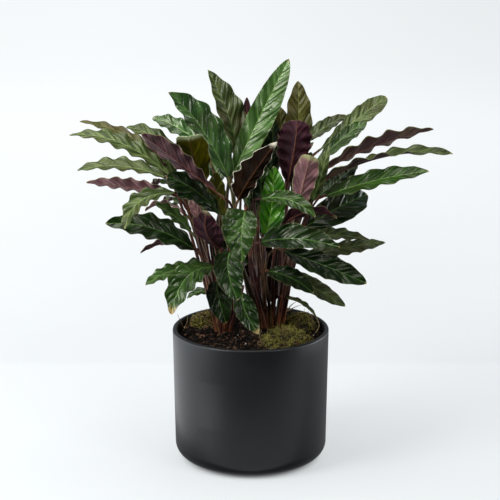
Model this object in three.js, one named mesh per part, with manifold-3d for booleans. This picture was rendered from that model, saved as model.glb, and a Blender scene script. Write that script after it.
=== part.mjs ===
// A potted velvet calathea: lance-shaped leaves with waved edges on red-brown stalks, in a round
// matt black pot filled with soil and moss. Millimetres, +Z up. The origin is the centre of the
// pot's foot, on the surface that it stands on, and -Y faces the viewer.
import * as THREE from "three";
import Module from "manifold-3d";
import { mergeVertices } from "three/addons/utils/BufferGeometryUtils.js";

const wasm = await Module();
wasm.setup();

// Pot
const POT_RADIUS = 101.3;
const POT_HEIGHT = 176;
const POT_TAPER = 3;
const POT_WALL = 6;
const POT_FLOOR = 10;
const FOOT_RADIUS = 76;
const FOOT_HEIGHT = 3.5;
const FOOT_EDGE = 1;
const POT_CORNER = 19;
const LIP = 2.6;
const POT_SIDES = 36;
const CORNER_STEPS = 3;
const LIP_STEPS = 2;

// Soil and moss
const GAP = 0.4;
const SOIL_EDGE = 164;
const SOIL_CROWN = 8;
const SOIL_RINGS = 3;
const SOIL_LUMP = 0.9;
const SOIL_LUMP_SIZES = [11, 9, 17];
const MOSS_LUMP = 0.12;
const MOSS_LUMP_SIZE = 4;
const MOSS_SIDES = 14;
const MOSS_RINGS = 8;
const ROOT_DEPTH = 44;
const ROOT_ABOVE = 3;
const ROOT_SIDES = 16;

// Stalks
const STALK_SIDES = 4;
const STALK_STEPS = 3;
const STALK_FOOT_RADIUS = 2.8;
const STALK_TOP_RADIUS = 1.5;
const STALK_BURIED = 8;
const STALK_RISE = 0.42;
const STALK_LEAN = 0.38;
const STALK_REACH = 0.28;
const STALK_UPRIGHT = 0.8;
const KNEE = 9;
const STALK_SPREAD = 60;
const STALK_INNER = 0.6;
const STALK_IN_BLADE = 3;

// Blades
const BLADE_THICKNESS = 0.9;
const KEEL = 1;
const BASE_HALF_WIDTH = 1.4;
const TIP_HALF_WIDTH = 0.35;
const BROADENING = 0.6;
const NARROWING = 0.7;
const FOLD = 12;
const RUFFLE = 0.085;
const RUFFLE_POWER = 1.3;
const RUFFLE_SPREAD = 0.7;
const WAVES = 5;
const WAVE_SWEEP = 0.35;
const SCALLOP = 0.05;
const FIRST_STATION = 0.05;
const LAST_STATION = 0.96;
const TURN = 0.618;
const MERGE = 1e-4;

const COLOURS = {
  pot: { color: "#2b2c2f", roughness: 0.55 },
  soil: { color: "#2a1c14", roughness: 0.95 },
  moss: { color: "#6d6a24", roughness: 0.9 },
  stalk: { color: "#4a241d", roughness: 0.6 },
  leaf: { color: "#2f4a2c", roughness: 0.45 },
  leaf_light: { color: "#54792f", roughness: 0.45 },
  leaf_olive: { color: "#5a5426", roughness: 0.5 },
};

// Where the stalks leave the soil. Those of a clump are one body, and a whole shoot carries its
// leaves in the same body.
const CLUMPS = {
  left: { centre: [-33, 1], radii: [12, 10] },
  right: { centre: [22, 10], radii: [21, 14] },
  back_left: { centre: [-22, 32], radii: [7, 7], whole: true },
  back_mid: { centre: [6, 42], radii: [7, 7], whole: true },
  back_right: { centre: [36, 44], radii: [8, 7], whole: true },
};

const MOSS = {
  moss_left: { centre: [-61, 38], radii: [15, 25], height: 14 },
  moss_front: { centre: [45, -45], radii: [32, 33], height: 18 },
  moss_right: { centre: [64, 24], radii: [19, 28], height: 15 },
};

// Each leaf: the clump that its stalk stands in, three points of its rib from the collar to the
// tip, the way its upper face looks, its width, and what differs from the common leaf
const LEAVES = [
  { name: "crown_tall", clump: "right", collar: [-24, -4, 377], middle: [9, 8, 447],
    tip: [48, 20, 524], faces: [-0.25, -0.93, 0.2], width: 37,
    waves: 5, broad: 0.72, narrow: 0.65, lean: 0.15, phase: 0.18, ruffle: 3.6 },
  { name: "crown_wide", clump: "left", collar: [-28, -14, 377], middle: [-62, -20, 444],
    tip: [-102, -32, 491], faces: [0.35, -0.87, 0.4], width: 41,
    waves: 5, broad: 0.66, narrow: 0.85, lean: 0.25, phase: 0.42, ruffle: 3 },
  { name: "crown_back_left", clump: "left", collar: [-15, 30, 391], middle: [-30, 38, 452],
    tip: [-55, 54, 504], faces: [0.15, -0.95, 0.2], width: 36,
    waves: 5, ruffle: 3, narrow: 0.9, lean: 0.28, phase: 0.84 },
  { name: "crown_olive", clump: "right", collar: [59, 60, 379], middle: [62, 64, 440],
    tip: [61, 74, 486], faces: [0.05, -0.97, 0.1], width: 35,
    waves: 4, ruffle: 2.5, narrow: 0.8, tone: "olive" },
  { name: "crown_dark", clump: "right", collar: [15, 20, 349], middle: [27, 26, 403],
    tip: [27, 34, 447], faces: [-0.3, -0.9, 0.1], width: 30, waves: 4 },
  { name: "purple_upright", clump: "right", collar: [47, -14, 371], middle: [55, -8, 413],
    tip: [59, 4, 449], faces: [0.05, 0.95, -0.25], width: 45,
    waves: 6, broad: 0.7, narrow: 0.4, lean: 0.08, scallop: 0.07 },
  { name: "purple_low_upright", clump: "right", collar: [61, -32, 343], middle: [66, -36, 375],
    tip: [75, -38, 412], faces: [0.1, 0.95, 0], width: 31, waves: 4, broad: 0.65, narrow: 0.3 },
  { name: "right_high", clump: "right", collar: [87, 56, 397], middle: [134, 84, 430],
    tip: [178, 106, 459], faces: [-0.35, -0.68, 0.62], width: 32,
    waves: 6, lean: 0.12, phase: 0.2, broad: 1.15, narrow: 0.55, tone: "light" },
  { name: "right_second", clump: "right", collar: [83, 8, 392], middle: [119, 30, 421],
    tip: [149, 48, 438], faces: [-0.4, -0.65, 0.65], width: 26, waves: 5, lean: 0.2, broad: 0.8 },
  { name: "right_purple", clump: "right", collar: [95, 4, 386], middle: [160, 20, 414],
    tip: [234, 34, 431], faces: [-0.2, 0.65, 0.72], width: 34, waves: 5.3, phase: 0.31 },
  { name: "right_long", clump: "right", collar: [92, -8, 374], middle: [171, -14, 407],
    tip: [255, -12, 409], faces: [-0.15, 0.1, 0.97], width: 36, waves: 5.5, phase: 0, twist: 60 },
  { name: "right_level", clump: "right", collar: [94, -16, 355], middle: [157, -32, 379],
    tip: [222, -50, 395], faces: [-0.1, -0.5, 0.86], width: 34, waves: 5, phase: 0.75 },
  { name: "right_broad", clump: "right", collar: [66, 6, 306], middle: [111, 26, 328],
    tip: [153, 76, 335], faces: [0.2, -0.75, 0.6], width: 42, waves: 4, broad: 0.8, lean: 0.1 },
  { name: "right_low_back", clump: "right", collar: [69, 26, 290], middle: [114, 44, 288],
    tip: [158, 58, 276], faces: [0.1, -0.35, 0.93], width: 27, waves: 5 },
  { name: "right_low_front", clump: "right", collar: [64, 8, 269], middle: [122, 10, 280],
    tip: [173, 6, 288], faces: [0, -0.5, 0.87], width: 27, waves: 6, lean: 0.2, phase: 0.01 },
  { name: "right_drooping", clump: "right", collar: [41, -29, 287], middle: [94, -48, 272],
    tip: [146, -62, 253], faces: [0.25, -0.7, 0.65], width: 37, waves: 5, broad: 0.8, lean: 0.08 },
  { name: "front_glossy", clump: "right", collar: [13, -42, 301], middle: [59, -66, 312],
    tip: [111, -84, 306], faces: [0.1, -0.85, 0.52], width: 33,
    waves: 3, ruffle: 4, scallop: 0.14, phase: 0.3, narrow: 0.85, lean: -0.14 },
  { name: "front_right_low", clump: "right", collar: [22, -26, 259], middle: [51, -48, 256],
    tip: [79, -62, 240], faces: [0.3, -0.75, 0.6], width: 28, waves: 5 },
  { name: "low_right", clump: "right", collar: [51, 2, 250], middle: [87, -6, 228],
    tip: [122, -12, 208], faces: [0.3, -0.7, 0.6], width: 24, waves: 5 },
  { name: "low_right_curl", clump: "right", collar: [43, -4, 218], middle: [66, -14, 213],
    tip: [85, -18, 195], faces: [0.4, -0.2, 0.8], width: 11, waves: 4 },
  { name: "young_green", clump: "right", collar: [19, -30, 306], middle: [27, -30, 350],
    tip: [29, -22, 395], faces: [-0.1, -0.95, 0.1], width: 34,
    waves: 4, ruffle: 2.5, lean: 0.1, tone: "light" },
  { name: "front_green", clump: "right", collar: [12, -40, 357], middle: [48, -66, 362],
    tip: [80, -82, 344], faces: [0.1, -0.55, 0.8], width: 26, waves: 5 },
  { name: "purple_front", clump: "right", collar: [42, -27, 322], middle: [74, -54, 345],
    tip: [108, -60, 337], faces: [-0.2, 0.7, 0.6], width: 26, waves: 4 },
  { name: "purple_dark", clump: "left", collar: [-15, -38, 356], middle: [4, -40, 390],
    tip: [33, -10, 423], faces: [0.35, 0.85, 0.25], width: 31,
    waves: 4.5, lean: 0.35, broad: 0.45, ruffle: 4.5, scallop: 0.16, phase: 0.1 },
  { name: "inner_dark", clump: "right", collar: [14, -4, 339], middle: [13, -4, 369],
    tip: [14, 0, 400], faces: [0.2, -0.9, 0], width: 28, waves: 4 },
  { name: "inner_green", clump: "right", collar: [-5, -14, 370], middle: [-6, -26, 357],
    tip: [-3, -32, 343], faces: [0.5, -0.8, 0.2], width: 13, waves: 3 },
  { name: "front_hanging", clump: "left", collar: [-7, -52, 345], middle: [-11, -84, 324],
    tip: [-11, -100, 291], faces: [0.1, -0.9, 0.4], width: 45,
    waves: 5, broad: 0.45, narrow: 0.8, lean: 0.2 },
  { name: "front_lower", clump: "left", collar: [-26, -40, 289], middle: [-28, -70, 270],
    tip: [-16, -90, 239], faces: [0.1, -0.8, 0.55], width: 38, waves: 4, ruffle: 2.4 },
  { name: "front_lowest", clump: "left", collar: [-43, -28, 246], middle: [-40, -48, 227],
    tip: [-31, -54, 198], faces: [0.15, -0.9, 0.4], width: 32, waves: 3.5, ruffle: 1.8 },
  { name: "front_brown_tip", clump: "left", collar: [-11, -34, 233], middle: [-7, -50, 213],
    tip: [10, -62, 186], faces: [0.35, -0.85, 0.4], width: 30, waves: 4, scallop: 0.08 },
  { name: "left_low_front", clump: "left", collar: [-47, -30, 265], middle: [-81, -58, 259],
    tip: [-100, -76, 216], faces: [-0.3, -0.8, 0.5], width: 40, waves: 5 },
  { name: "left_low_back", clump: "left", collar: [-68, 12, 255], middle: [-104, -4, 252],
    tip: [-135, -18, 238], faces: [-0.2, -0.6, 0.77], width: 22, waves: 5 },
  { name: "purple_curled", clump: "left", collar: [-39, -42, 294], middle: [-55, -66, 322],
    tip: [-53, -84, 352], faces: [0.3, 0.9, 0.1], width: 39,
    waves: 4, broad: 0.55, narrow: 0.7, lean: 0.02, scallop: 0.12 },
  { name: "left_broad", clump: "left", collar: [-72, -24, 287], middle: [-124, -44, 320],
    tip: [-182, -56, 329], faces: [-0.1, -0.72, 0.7], width: 36, waves: 5, phase: 0.9 },
  { name: "left_bright", clump: "left", collar: [-94, -36, 364], middle: [-137, -62, 360],
    tip: [-156, -82, 329], faces: [-0.3, -0.6, 0.74], width: 28, waves: 5, tone: "light" },
  { name: "left_middle", clump: "left", collar: [-77, 14, 300], middle: [-98, 8, 323],
    tip: [-122, 0, 341], faces: [0.2, -0.55, 0.8], width: 22, waves: 4 },
  { name: "left_pink", clump: "left", collar: [-83, 39, 315], middle: [-110, 46, 330],
    tip: [-138, 54, 318], faces: [0, 0.3, 0.9], width: 26, waves: 4 },
  { name: "left_purple", clump: "left", collar: [-102, -12, 356], middle: [-154, -22, 369],
    tip: [-207, -30, 376], faces: [0.05, 0.72, 0.69], width: 29, waves: 6, phase: 0.08 },
  { name: "left_long", clump: "left", collar: [-108, -3, 376], middle: [-164, -5, 391],
    tip: [-220, -6, 386], faces: [0, -0.35, 0.92], width: 27,
    waves: 5, lean: 0.15, phase: 0.17, tone: "light" },
  { name: "left_upper", clump: "left", collar: [-103, 16, 373], middle: [-166, 28, 414],
    tip: [-233, 40, 422], faces: [0.2, -0.45, 0.85], width: 30,
    waves: 6, broad: 0.8, narrow: 0.9, phase: 0.52, tone: "light" },
  { name: "left_thin", clump: "left", collar: [-130, 54, 402], middle: [-174, 74, 420],
    tip: [-224, 94, 429], faces: [0.2, -0.3, 0.93], width: 20, waves: 4, tone: "olive" },
  { name: "left_yellow", clump: "left", collar: [-95, 30, 402], middle: [-130, 42, 423],
    tip: [-161, 54, 429], faces: [0.2, -0.5, 0.85], width: 24, waves: 3, phase: 0.44, tone: "light" },
  { name: "purple_left", clump: "left", collar: [-33, -32, 356], middle: [-84, -46, 402],
    tip: [-135, -60, 445], faces: [0.25, 0.7, 0.6], width: 38,
    waves: 6, phase: 0.04, broad: 1.7, narrow: 0.8 },
  { name: "olive_folded", clump: "left", collar: [-61, -2, 359], middle: [-69, -30, 402],
    tip: [-77, -57, 441], faces: [0, 0.8, 0.5], width: 42,
    waves: 4, ruffle: 2.5, broad: 0.7, narrow: 0.25, scallop: 0.07, tone: "olive" },
  { name: "left_dark_high", clump: "left", collar: [-65, 22, 414], middle: [-96, 36, 434],
    tip: [-127, 50, 442], faces: [0.15, -0.7, 0.68], width: 25, waves: 4, phase: 0.66 },
  { name: "left_dark", clump: "left", collar: [-36, -14, 328], middle: [-70, -28, 365],
    tip: [-106, -34, 384], faces: [0.25, -0.75, 0.6], width: 39, waves: 4, broad: 1.1, lean: -0.14 },
  { name: "olive_upright", clump: "left", collar: [-33, 6, 324], middle: [-44, 2, 353],
    tip: [-44, -2, 383], faces: [0.2, -0.95, 0.1], width: 27, waves: 3, tone: "olive" },
  { name: "pink_strip", clump: "left", collar: [-63, -38, 328], middle: [-69, -43, 343],
    tip: [-77, -48, 357], faces: [-0.3, 0.9, 0.2], width: 13, waves: 3 },
  { name: "low_purple", clump: "left", collar: [-76, 6, 282], middle: [-109, 14, 286],
    tip: [-143, 18, 271], faces: [0.1, 0.5, 0.87], width: 20, waves: 4 },
  { name: "left_far", clump: "back_left", collar: [-102, 50, 365], middle: [-123, 60, 384],
    tip: [-145, 70, 406], faces: [0.1, -0.4, 0.9], width: 26, waves: 4 },
  { name: "left_small", clump: "back_left", collar: [-97, 50, 365], middle: [-107, 52, 380],
    tip: [-119, 54, 392], faces: [0.3, -0.8, 0.5], width: 14, waves: 3, tone: "light" },
  { name: "crown_sliver", clump: "back_mid", collar: [-6, 62, 379], middle: [-5, 66, 423],
    tip: [-5, 72, 465], faces: [0, 0.95, 0.3], width: 18, waves: 3, tone: "olive" },
  { name: "crown_narrow", clump: "back_right", collar: [46, 84, 384], middle: [41, 88, 418],
    tip: [37, 94, 449], faces: [0.1, -0.95, 0.2], width: 26, waves: 4, tone: "olive" },
  { name: "right_grey", clump: "back_right", collar: [73, 96, 402], middle: [98, 112, 418],
    tip: [127, 130, 430], faces: [-0.3, -0.7, 0.62], width: 22, waves: 5 },
  { name: "right_dark", clump: "back_right", collar: [88, 50, 339], middle: [114, 66, 356],
    tip: [140, 84, 374], faces: [-0.3, -0.5, 0.8], width: 34, waves: 5 },
  { name: "left_low_small", clump: "back_left", collar: [-51, 34, 212], middle: [-68, 40, 212],
    tip: [-84, 44, 202], faces: [-0.2, -0.5, 0.8], width: 13, waves: 3 },
  { name: "back_left_wide", clump: "back_left", collar: [-60, 78, 300], middle: [-90, 120, 318],
    tip: [-118, 160, 300], faces: [-0.3, 0.3, 0.9], width: 40 },
  { name: "back_left_high", clump: "back_left", collar: [-40, 84, 350], middle: [-58, 130, 372],
    tip: [-78, 176, 356], faces: [-0.1, 0.2, 0.95], width: 40 },
  { name: "back_left_side", clump: "back_left", collar: [-90, 64, 340], middle: [-110, 86, 352],
    tip: [-128, 110, 336], faces: [-0.2, 0.1, 0.95], width: 34 },
  { name: "back_top", clump: "back_mid", collar: [4, 78, 350], middle: [8, 100, 398],
    tip: [14, 124, 430], faces: [0, 0.6, 0.8], width: 38 },
  { name: "back_centre", clump: "back_mid", collar: [6, 96, 320], middle: [2, 146, 346],
    tip: [-6, 192, 332], faces: [0, 0.2, 0.95], width: 42 },
  { name: "back_low", clump: "back_mid", collar: [22, 92, 258], middle: [34, 136, 276],
    tip: [42, 176, 256], faces: [0.1, 0.3, 0.95], width: 38 },
  { name: "back_hanging", clump: "back_mid", collar: [-10, 76, 236], middle: [-16, 114, 238],
    tip: [-22, 142, 200], faces: [-0.1, 0.8, 0.6], width: 34 },
  { name: "back_right_wide", clump: "back_right", collar: [68, 82, 312], middle: [98, 116, 332],
    tip: [128, 150, 316], faces: [0.2, 0.3, 0.9], width: 40 },
  { name: "back_right_high", clump: "back_right", collar: [48, 84, 358], middle: [62, 128, 386],
    tip: [76, 170, 374], faces: [0.1, 0.2, 0.95], width: 40 },
  { name: "back_right_low", clump: "back_right", collar: [58, 72, 254], middle: [84, 106, 270],
    tip: [108, 136, 248], faces: [0.2, 0.3, 0.9], width: 34 },
  { name: "back_inner", clump: "back_mid", collar: [7, 66, 281], middle: [10, 70, 334],
    tip: [15, 70, 393], faces: [0, -0.95, 0.2], width: 36 },
  { name: "back_inner_right", clump: "back_right", collar: [62, 68, 313], middle: [70, 74, 352],
    tip: [79, 78, 391], faces: [0, -0.95, 0.2], width: 34 },
  { name: "green_strip", clump: "right", collar: [78, -20, 349], middle: [89, -20, 384],
    tip: [98, -12, 419], faces: [-0.4, -0.9, 0.1], width: 16, waves: 2, tone: "light" },
  { name: "back_screen", clump: "back_mid", collar: [15, 74, 276], middle: [10, 88, 239],
    tip: [4, 92, 199], faces: [0, 0.9, 0.2], width: 40, waves: 3 },
  { name: "back_screen_right", clump: "back_right", collar: [39, 94, 257], middle: [34, 108, 220],
    tip: [26, 112, 176], faces: [0.1, 0.9, 0.2], width: 36, waves: 3 },
  { name: "back_screen_left", clump: "back_left", collar: [-46, 62, 246], middle: [-40, 64, 281],
    tip: [-36, 62, 322], faces: [0.2, -0.95, 0.1], width: 24, waves: 3 },
];

const group = new THREE.Group();

// Meshes and solids
function solid(geometry) {
  const bare = geometry.clone();
  bare.deleteAttribute("normal");
  bare.deleteAttribute("uv");
  const merged = mergeVertices(bare, MERGE);
  return new wasm.Manifold(new wasm.Mesh({
    numProp: 3,
    vertProperties: new Float32Array(merged.attributes.position.array),
    triVerts: new Uint32Array(merged.index.array),
  }));
}

function geometryOf(body) {
  const { vertProperties, triVerts } = body.getMesh();
  const geometry = new THREE.BufferGeometry();
  geometry.setAttribute("position", new THREE.BufferAttribute(vertProperties, 3));
  geometry.setIndex(new THREE.BufferAttribute(triVerts, 1));
  geometry.computeVertexNormals();
  return geometry;
}

// The one body that a join leaves, with any hollow that it sealed filled
function largest(body) {
  return body.decompose().sort((a, b) => b.volume() - a.volume())[0];
}

function fromPoints(points, faces) {
  const geometry = new THREE.BufferGeometry();
  const flat = points.flatMap((point) => point.toArray());
  geometry.setAttribute("position", new THREE.Float32BufferAttribute(flat, 3));
  geometry.setIndex(faces.flat());
  return geometry;
}

function add(name, geometry, colour) {
  const mesh = new THREE.Mesh(geometry, new THREE.MeshStandardMaterial(COLOURS[colour]));
  mesh.name = name;
  group.add(mesh);
}

// Pot
function potRadius(z) {
  return POT_RADIUS - POT_TAPER * (1 - z / POT_HEIGHT);
}

function arc(cx, cy, radius, from, to, steps) {
  const points = [];
  for (let i = 0; i <= steps; i += 1) {
    const angle = THREE.MathUtils.degToRad(from + ((to - from) * i) / steps);
    points.push(new THREE.Vector2(cx + radius * Math.cos(angle), cy + radius * Math.sin(angle)));
  }
  return points;
}

// A profile about the z axis turned into a closed solid
function turned(profile) {
  const lathe = new THREE.LatheGeometry(profile, POT_SIDES);
  lathe.rotateX(Math.PI / 2);
  return lathe;
}

function innerProfile(gap) {
  const corner = POT_CORNER - POT_WALL;
  const low = POT_FLOOR + corner;
  const radius = potRadius(low) - POT_WALL - gap;
  return arc(radius - corner, low + gap, corner, 0, -90, LIP_STEPS);
}

function pot() {
  const low = FOOT_HEIGHT + POT_CORNER;
  const outer = potRadius(low);
  const rim = POT_HEIGHT - LIP;
  const profile = [
    new THREE.Vector2(0, 0),
    new THREE.Vector2(FOOT_RADIUS - FOOT_EDGE, 0),
    new THREE.Vector2(FOOT_RADIUS, FOOT_EDGE),
    new THREE.Vector2(FOOT_RADIUS, FOOT_HEIGHT),
    ...arc(outer - POT_CORNER, low, POT_CORNER, -90, 0, CORNER_STEPS),
    ...arc(potRadius(rim) - LIP, rim, LIP, 0, 90, LIP_STEPS),
    ...arc(potRadius(rim) - POT_WALL + LIP, rim, LIP, 90, 180, LIP_STEPS),
    ...innerProfile(0),
    new THREE.Vector2(0, POT_FLOOR),
  ];
  return turned(profile);
}

// Soil
function soilHeight(x, y) {
  const rise = 1 - (x * x + y * y) / POT_RADIUS ** 2;
  const [wide, deep, slanting] = SOIL_LUMP_SIZES;
  const lumps = Math.sin(x / wide + 1) * Math.sin(y / deep) + Math.sin((x - y) / slanting);
  return SOIL_EDGE + SOIL_CROWN * rise + SOIL_LUMP * lumps;
}

function soilBody() {
  const reach = potRadius(SOIL_EDGE) - POT_WALL - GAP;
  const profile = [new THREE.Vector2(0, POT_FLOOR + GAP), ...innerProfile(GAP).reverse()];
  for (let ring = 0; ring <= SOIL_RINGS; ring += 1) {
    profile.push(new THREE.Vector2(reach * (1 - ring / SOIL_RINGS), SOIL_EDGE));
  }
  const geometry = turned(profile);
  const place = geometry.attributes.position;
  for (let i = 0; i < place.count; i += 1) {
    if (place.getZ(i) > SOIL_EDGE - GAP) {
      place.setZ(i, soilHeight(place.getX(i), place.getY(i)));
    }
  }
  return solid(geometry);
}

function rootstock({ centre, radii }, grow) {
  const top = soilHeight(...centre) + ROOT_ABOVE;
  const height = ROOT_DEPTH + ROOT_ABOVE;
  const column = new THREE.CylinderGeometry(1, 1, height, ROOT_SIDES);
  column.rotateX(Math.PI / 2);
  column.scale(radii[0] + grow, radii[1] + grow, 1);
  column.translate(centre[0], centre[1], top - height / 2 - grow);
  return solid(column);
}

function soil() {
  let body = soilBody();
  for (const clump of Object.values(CLUMPS)) {
    body = body.subtract(rootstock(clump, GAP));
  }
  return geometryOf(body);
}

// Moss
function moss({ centre, radii, height }) {
  const mound = new THREE.SphereGeometry(1, MOSS_SIDES, MOSS_RINGS);
  mound.rotateX(Math.PI / 2);
  mound.scale(radii[0], radii[1], height);
  const place = mound.attributes.position;
  for (let i = 0; i < place.count; i += 1) {
    const point = new THREE.Vector3().fromBufferAttribute(place, i);
    const wave = Math.sin(point.x / MOSS_LUMP_SIZE) * Math.sin(point.y / MOSS_LUMP_SIZE + 1);
    point.multiplyScalar(1 + MOSS_LUMP * wave);
    place.setXYZ(i, ...point.toArray());
  }
  mound.translate(centre[0], centre[1], soilHeight(...centre));
  return geometryOf(solid(mound).subtract(soilBody().translate([0, 0, GAP])));
}

// Leaves
function vector(list) {
  return new THREE.Vector3(...list);
}

function ribPoint({ collar, middle, tip }, t) {
  const point = vector(collar).multiplyScalar((1 - t) * (1 - 2 * t));
  point.addScaledVector(vector(middle), 4 * t * (1 - t));
  return point.addScaledVector(vector(tip), t * (2 * t - 1));
}

function ribWay({ collar, middle, tip }, t) {
  const way = vector(collar).multiplyScalar(4 * t - 3);
  way.addScaledVector(vector(middle), 4 - 8 * t);
  return way.addScaledVector(vector(tip), 4 * t - 1).normalize();
}

// The directions along the rib, across the blade and out of its upper face
function bladeFrame(leaf, t) {
  const along = ribWay(leaf, t);
  const chord = vector(leaf.tip).sub(vector(leaf.collar));
  const across = chord.cross(vector(leaf.faces));
  across.addScaledVector(along, -across.dot(along)).normalize();
  const out = across.clone().cross(along);
  const twist = THREE.MathUtils.degToRad((leaf.twist ?? 0) * (t - 0.5));
  across.applyAxisAngle(along, twist);
  out.applyAxisAngle(along, twist);
  return { along, across, out };
}

function halfWidth(leaf, t, side) {
  const broad = leaf.broad ?? BROADENING;
  const narrow = leaf.narrow ?? NARROWING;
  const widest = broad / (broad + narrow);
  const peak = widest ** broad * (1 - widest) ** narrow;
  const shape = (t ** broad * (1 - t) ** narrow) / peak;
  const most = (leaf.width / 2) * (1 + side * (leaf.lean ?? 0));
  const least = THREE.MathUtils.lerp(BASE_HALF_WIDTH, TIP_HALF_WIDTH, t);
  return Math.max(most * shape, least);
}

// A point of the upper face, from -1 at one edge through 0 on the rib to 1 at the other edge
function bladePoint(leaf, phase, t, u) {
  const { across, out } = bladeFrame(leaf, t);
  const side = Math.sign(u);
  const wave = Math.sin(2 * Math.PI * ((leaf.waves ?? WAVES) * t - WAVE_SWEEP * Math.abs(u) + phase));
  const scallop = leaf.scallop ?? SCALLOP;
  const reach = Math.abs(u) * halfWidth(leaf, t, side) * (1 + scallop * wave);
  const fold = THREE.MathUtils.degToRad(leaf.fold ?? FOLD);
  const swing = (leaf.ruffle ?? RUFFLE * leaf.width) * Math.sin(Math.PI * t) ** RUFFLE_SPREAD;
  const lift = reach * Math.sin(fold) + swing * Math.abs(u) ** RUFFLE_POWER * wave * (side || 1);
  const point = ribPoint(leaf, t).addScaledVector(across, side * reach * Math.cos(fold));
  return { point: point.addScaledVector(out, lift), out };
}

// Stations along the rib: its ends, and each crest and trough of the waved edge
function stations(leaf, phase) {
  const waves = leaf.waves ?? WAVES;
  const found = [0];
  for (let half = -2; half <= 2 * waves + 2; half += 1) {
    const t = (half / 2 + 0.25 + WAVE_SWEEP - phase) / waves;
    if (t > FIRST_STATION && t < LAST_STATION) {
      found.push(t);
    }
  }
  return [...found, 1];
}

function blade(leaf, phase) {
  const rows = stations(leaf, phase);
  const columns = [-1, 0, 1];
  const upper = [];
  const lower = [];
  for (const t of rows) {
    for (const u of columns) {
      const { point, out } = bladePoint(leaf, phase, t, u);
      const depth = BLADE_THICKNESS + (u === 0 ? KEEL * (1 - t) : 0);
      upper.push(point);
      lower.push(point.clone().addScaledVector(out, -depth));
    }
  }
  const width = columns.length;
  const under = upper.length;
  const faces = [];
  for (let i = 0; i + 1 < rows.length; i += 1) {
    for (let k = 0; k + 1 < width; k += 1) {
      const a = i * width + k;
      const b = a + width;
      faces.push([a, a + 1, b + 1], [a, b + 1, b]);
      faces.push([under + a, under + b + 1, under + a + 1], [under + a, under + b, under + b + 1]);
    }
    const left = i * width;
    const right = left + width - 1;
    const leftEnd = left + width;
    const rightEnd = right + width;
    faces.push([left, leftEnd, under + leftEnd], [left, under + leftEnd, under + left]);
    faces.push([right, under + right, under + rightEnd], [right, under + rightEnd, rightEnd]);
  }
  const last = (rows.length - 1) * width;
  for (let k = 0; k + 1 < width; k += 1) {
    faces.push([k, under + k, under + k + 1], [k, under + k + 1, k + 1]);
    const end = last + k;
    faces.push([end, end + 1, under + end + 1], [end, under + end + 1, under + end]);
  }
  return fromPoints([...upper, ...lower], faces);
}

// Stalks
// Up out of the soil, over to the leaf, and a short straight knee in line with its rib
function stalkPath(leaf, clump, index, past) {
  const [x, y] = clump.centre;
  const away = new THREE.Vector2(leaf.collar[0] - x, leaf.collar[1] - y);
  const draw = THREE.MathUtils.lerp(STALK_INNER, 1, (index * TURN) % 1);
  away.normalize().multiplyScalar(Math.min(1, away.length() / STALK_SPREAD) * draw);
  const [wide, deep] = clump.radii.map((radius) => radius - STALK_FOOT_RADIUS);
  const root = vector([x + away.x * wide, y + away.y * deep, soilHeight(x, y) - STALK_BURIED]);
  const rib = ribWay(leaf, 0);
  const knee = vector(leaf.collar).addScaledVector(rib, -KNEE);
  const length = root.distanceTo(knee);
  const lift = root.clone().lerp(knee, STALK_LEAN).setZ(root.z + STALK_RISE * length);
  const slope = rib.clone().add(vector([0, 0, STALK_UPRIGHT])).normalize();
  const reach = knee.clone().addScaledVector(slope, -STALK_REACH * length);
  const path = new THREE.CurvePath();
  path.add(new THREE.CubicBezierCurve3(root, lift, reach, knee));
  path.add(new THREE.LineCurve3(knee, vector(leaf.collar).addScaledVector(rib, past)));
  return path;
}

function stalk(leaf, clump, index, past) {
  const [bend, knee] = stalkPath(leaf, clump, index, past).curves;
  const side = vector([1, 0, 0]);
  const points = [];
  const faces = [];
  const rings = STALK_STEPS + 1;
  for (let i = 0; i <= rings; i += 1) {
    const t = i / STALK_STEPS;
    const centre = i < rings ? bend.getPoint(t) : knee.getPoint(1);
    const along = i < rings ? bend.getTangent(t) : knee.getTangent(1);
    side.addScaledVector(along, -side.dot(along)).normalize();
    const other = along.clone().cross(side);
    const radius = THREE.MathUtils.lerp(STALK_FOOT_RADIUS, STALK_TOP_RADIUS, Math.min(1, t));
    for (let k = 0; k < STALK_SIDES; k += 1) {
      const angle = (2 * Math.PI * k) / STALK_SIDES;
      const point = centre.clone().addScaledVector(side, radius * Math.cos(angle));
      points.push(point.addScaledVector(other, radius * Math.sin(angle)));
      if (i < rings) {
        const a = i * STALK_SIDES + k;
        const b = i * STALK_SIDES + ((k + 1) % STALK_SIDES);
        faces.push([a, b, b + STALK_SIDES], [a, b + STALK_SIDES, a + STALK_SIDES]);
      }
    }
  }
  const last = rings * STALK_SIDES;
  for (let k = 1; k + 1 < STALK_SIDES; k += 1) {
    faces.push([0, k + 1, k], [last, last + k, last + k + 1]);
  }
  return solid(fromPoints(points, faces));
}

function plant() {
  for (const [clumpName, clump] of Object.entries(CLUMPS)) {
    let body = rootstock(clump, 0);
    LEAVES.forEach((leaf, index) => {
      if (leaf.clump !== clumpName) {
        return;
      }
      const phase = leaf.phase ?? (index * TURN) % 1;
      body = body.add(stalk(leaf, clump, index, clump.whole ? STALK_IN_BLADE : -GAP));
      if (clump.whole) {
        body = body.add(solid(blade(leaf, phase)));
      } else {
        add(`leaf_${leaf.name}`, blade(leaf, phase), leaf.tone ? `leaf_${leaf.tone}` : "leaf");
      }
    });
    const [kind, colour] = clump.whole ? ["shoot", "leaf"] : ["stalks", "stalk"];
    add(`${kind}_${clumpName}`, geometryOf(largest(body)), colour);
  }
}

add("pot", pot(), "pot");
add("soil", soil(), "soil");
for (const [name, mound] of Object.entries(MOSS)) {
  add(name, moss(mound), "moss");
}
plant();

export default group;
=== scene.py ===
# A potted velvet calathea: waved lance-shaped leaves on red-brown stalks in a matt black pot with
# soil and moss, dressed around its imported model. The plant's own sizes are in millimetres, as in
# the model, and turned into metres where a mesh is made. The stage is in metres throughout.
import math
import random

import bpy
import numpy as np
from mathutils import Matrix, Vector, noise


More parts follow.
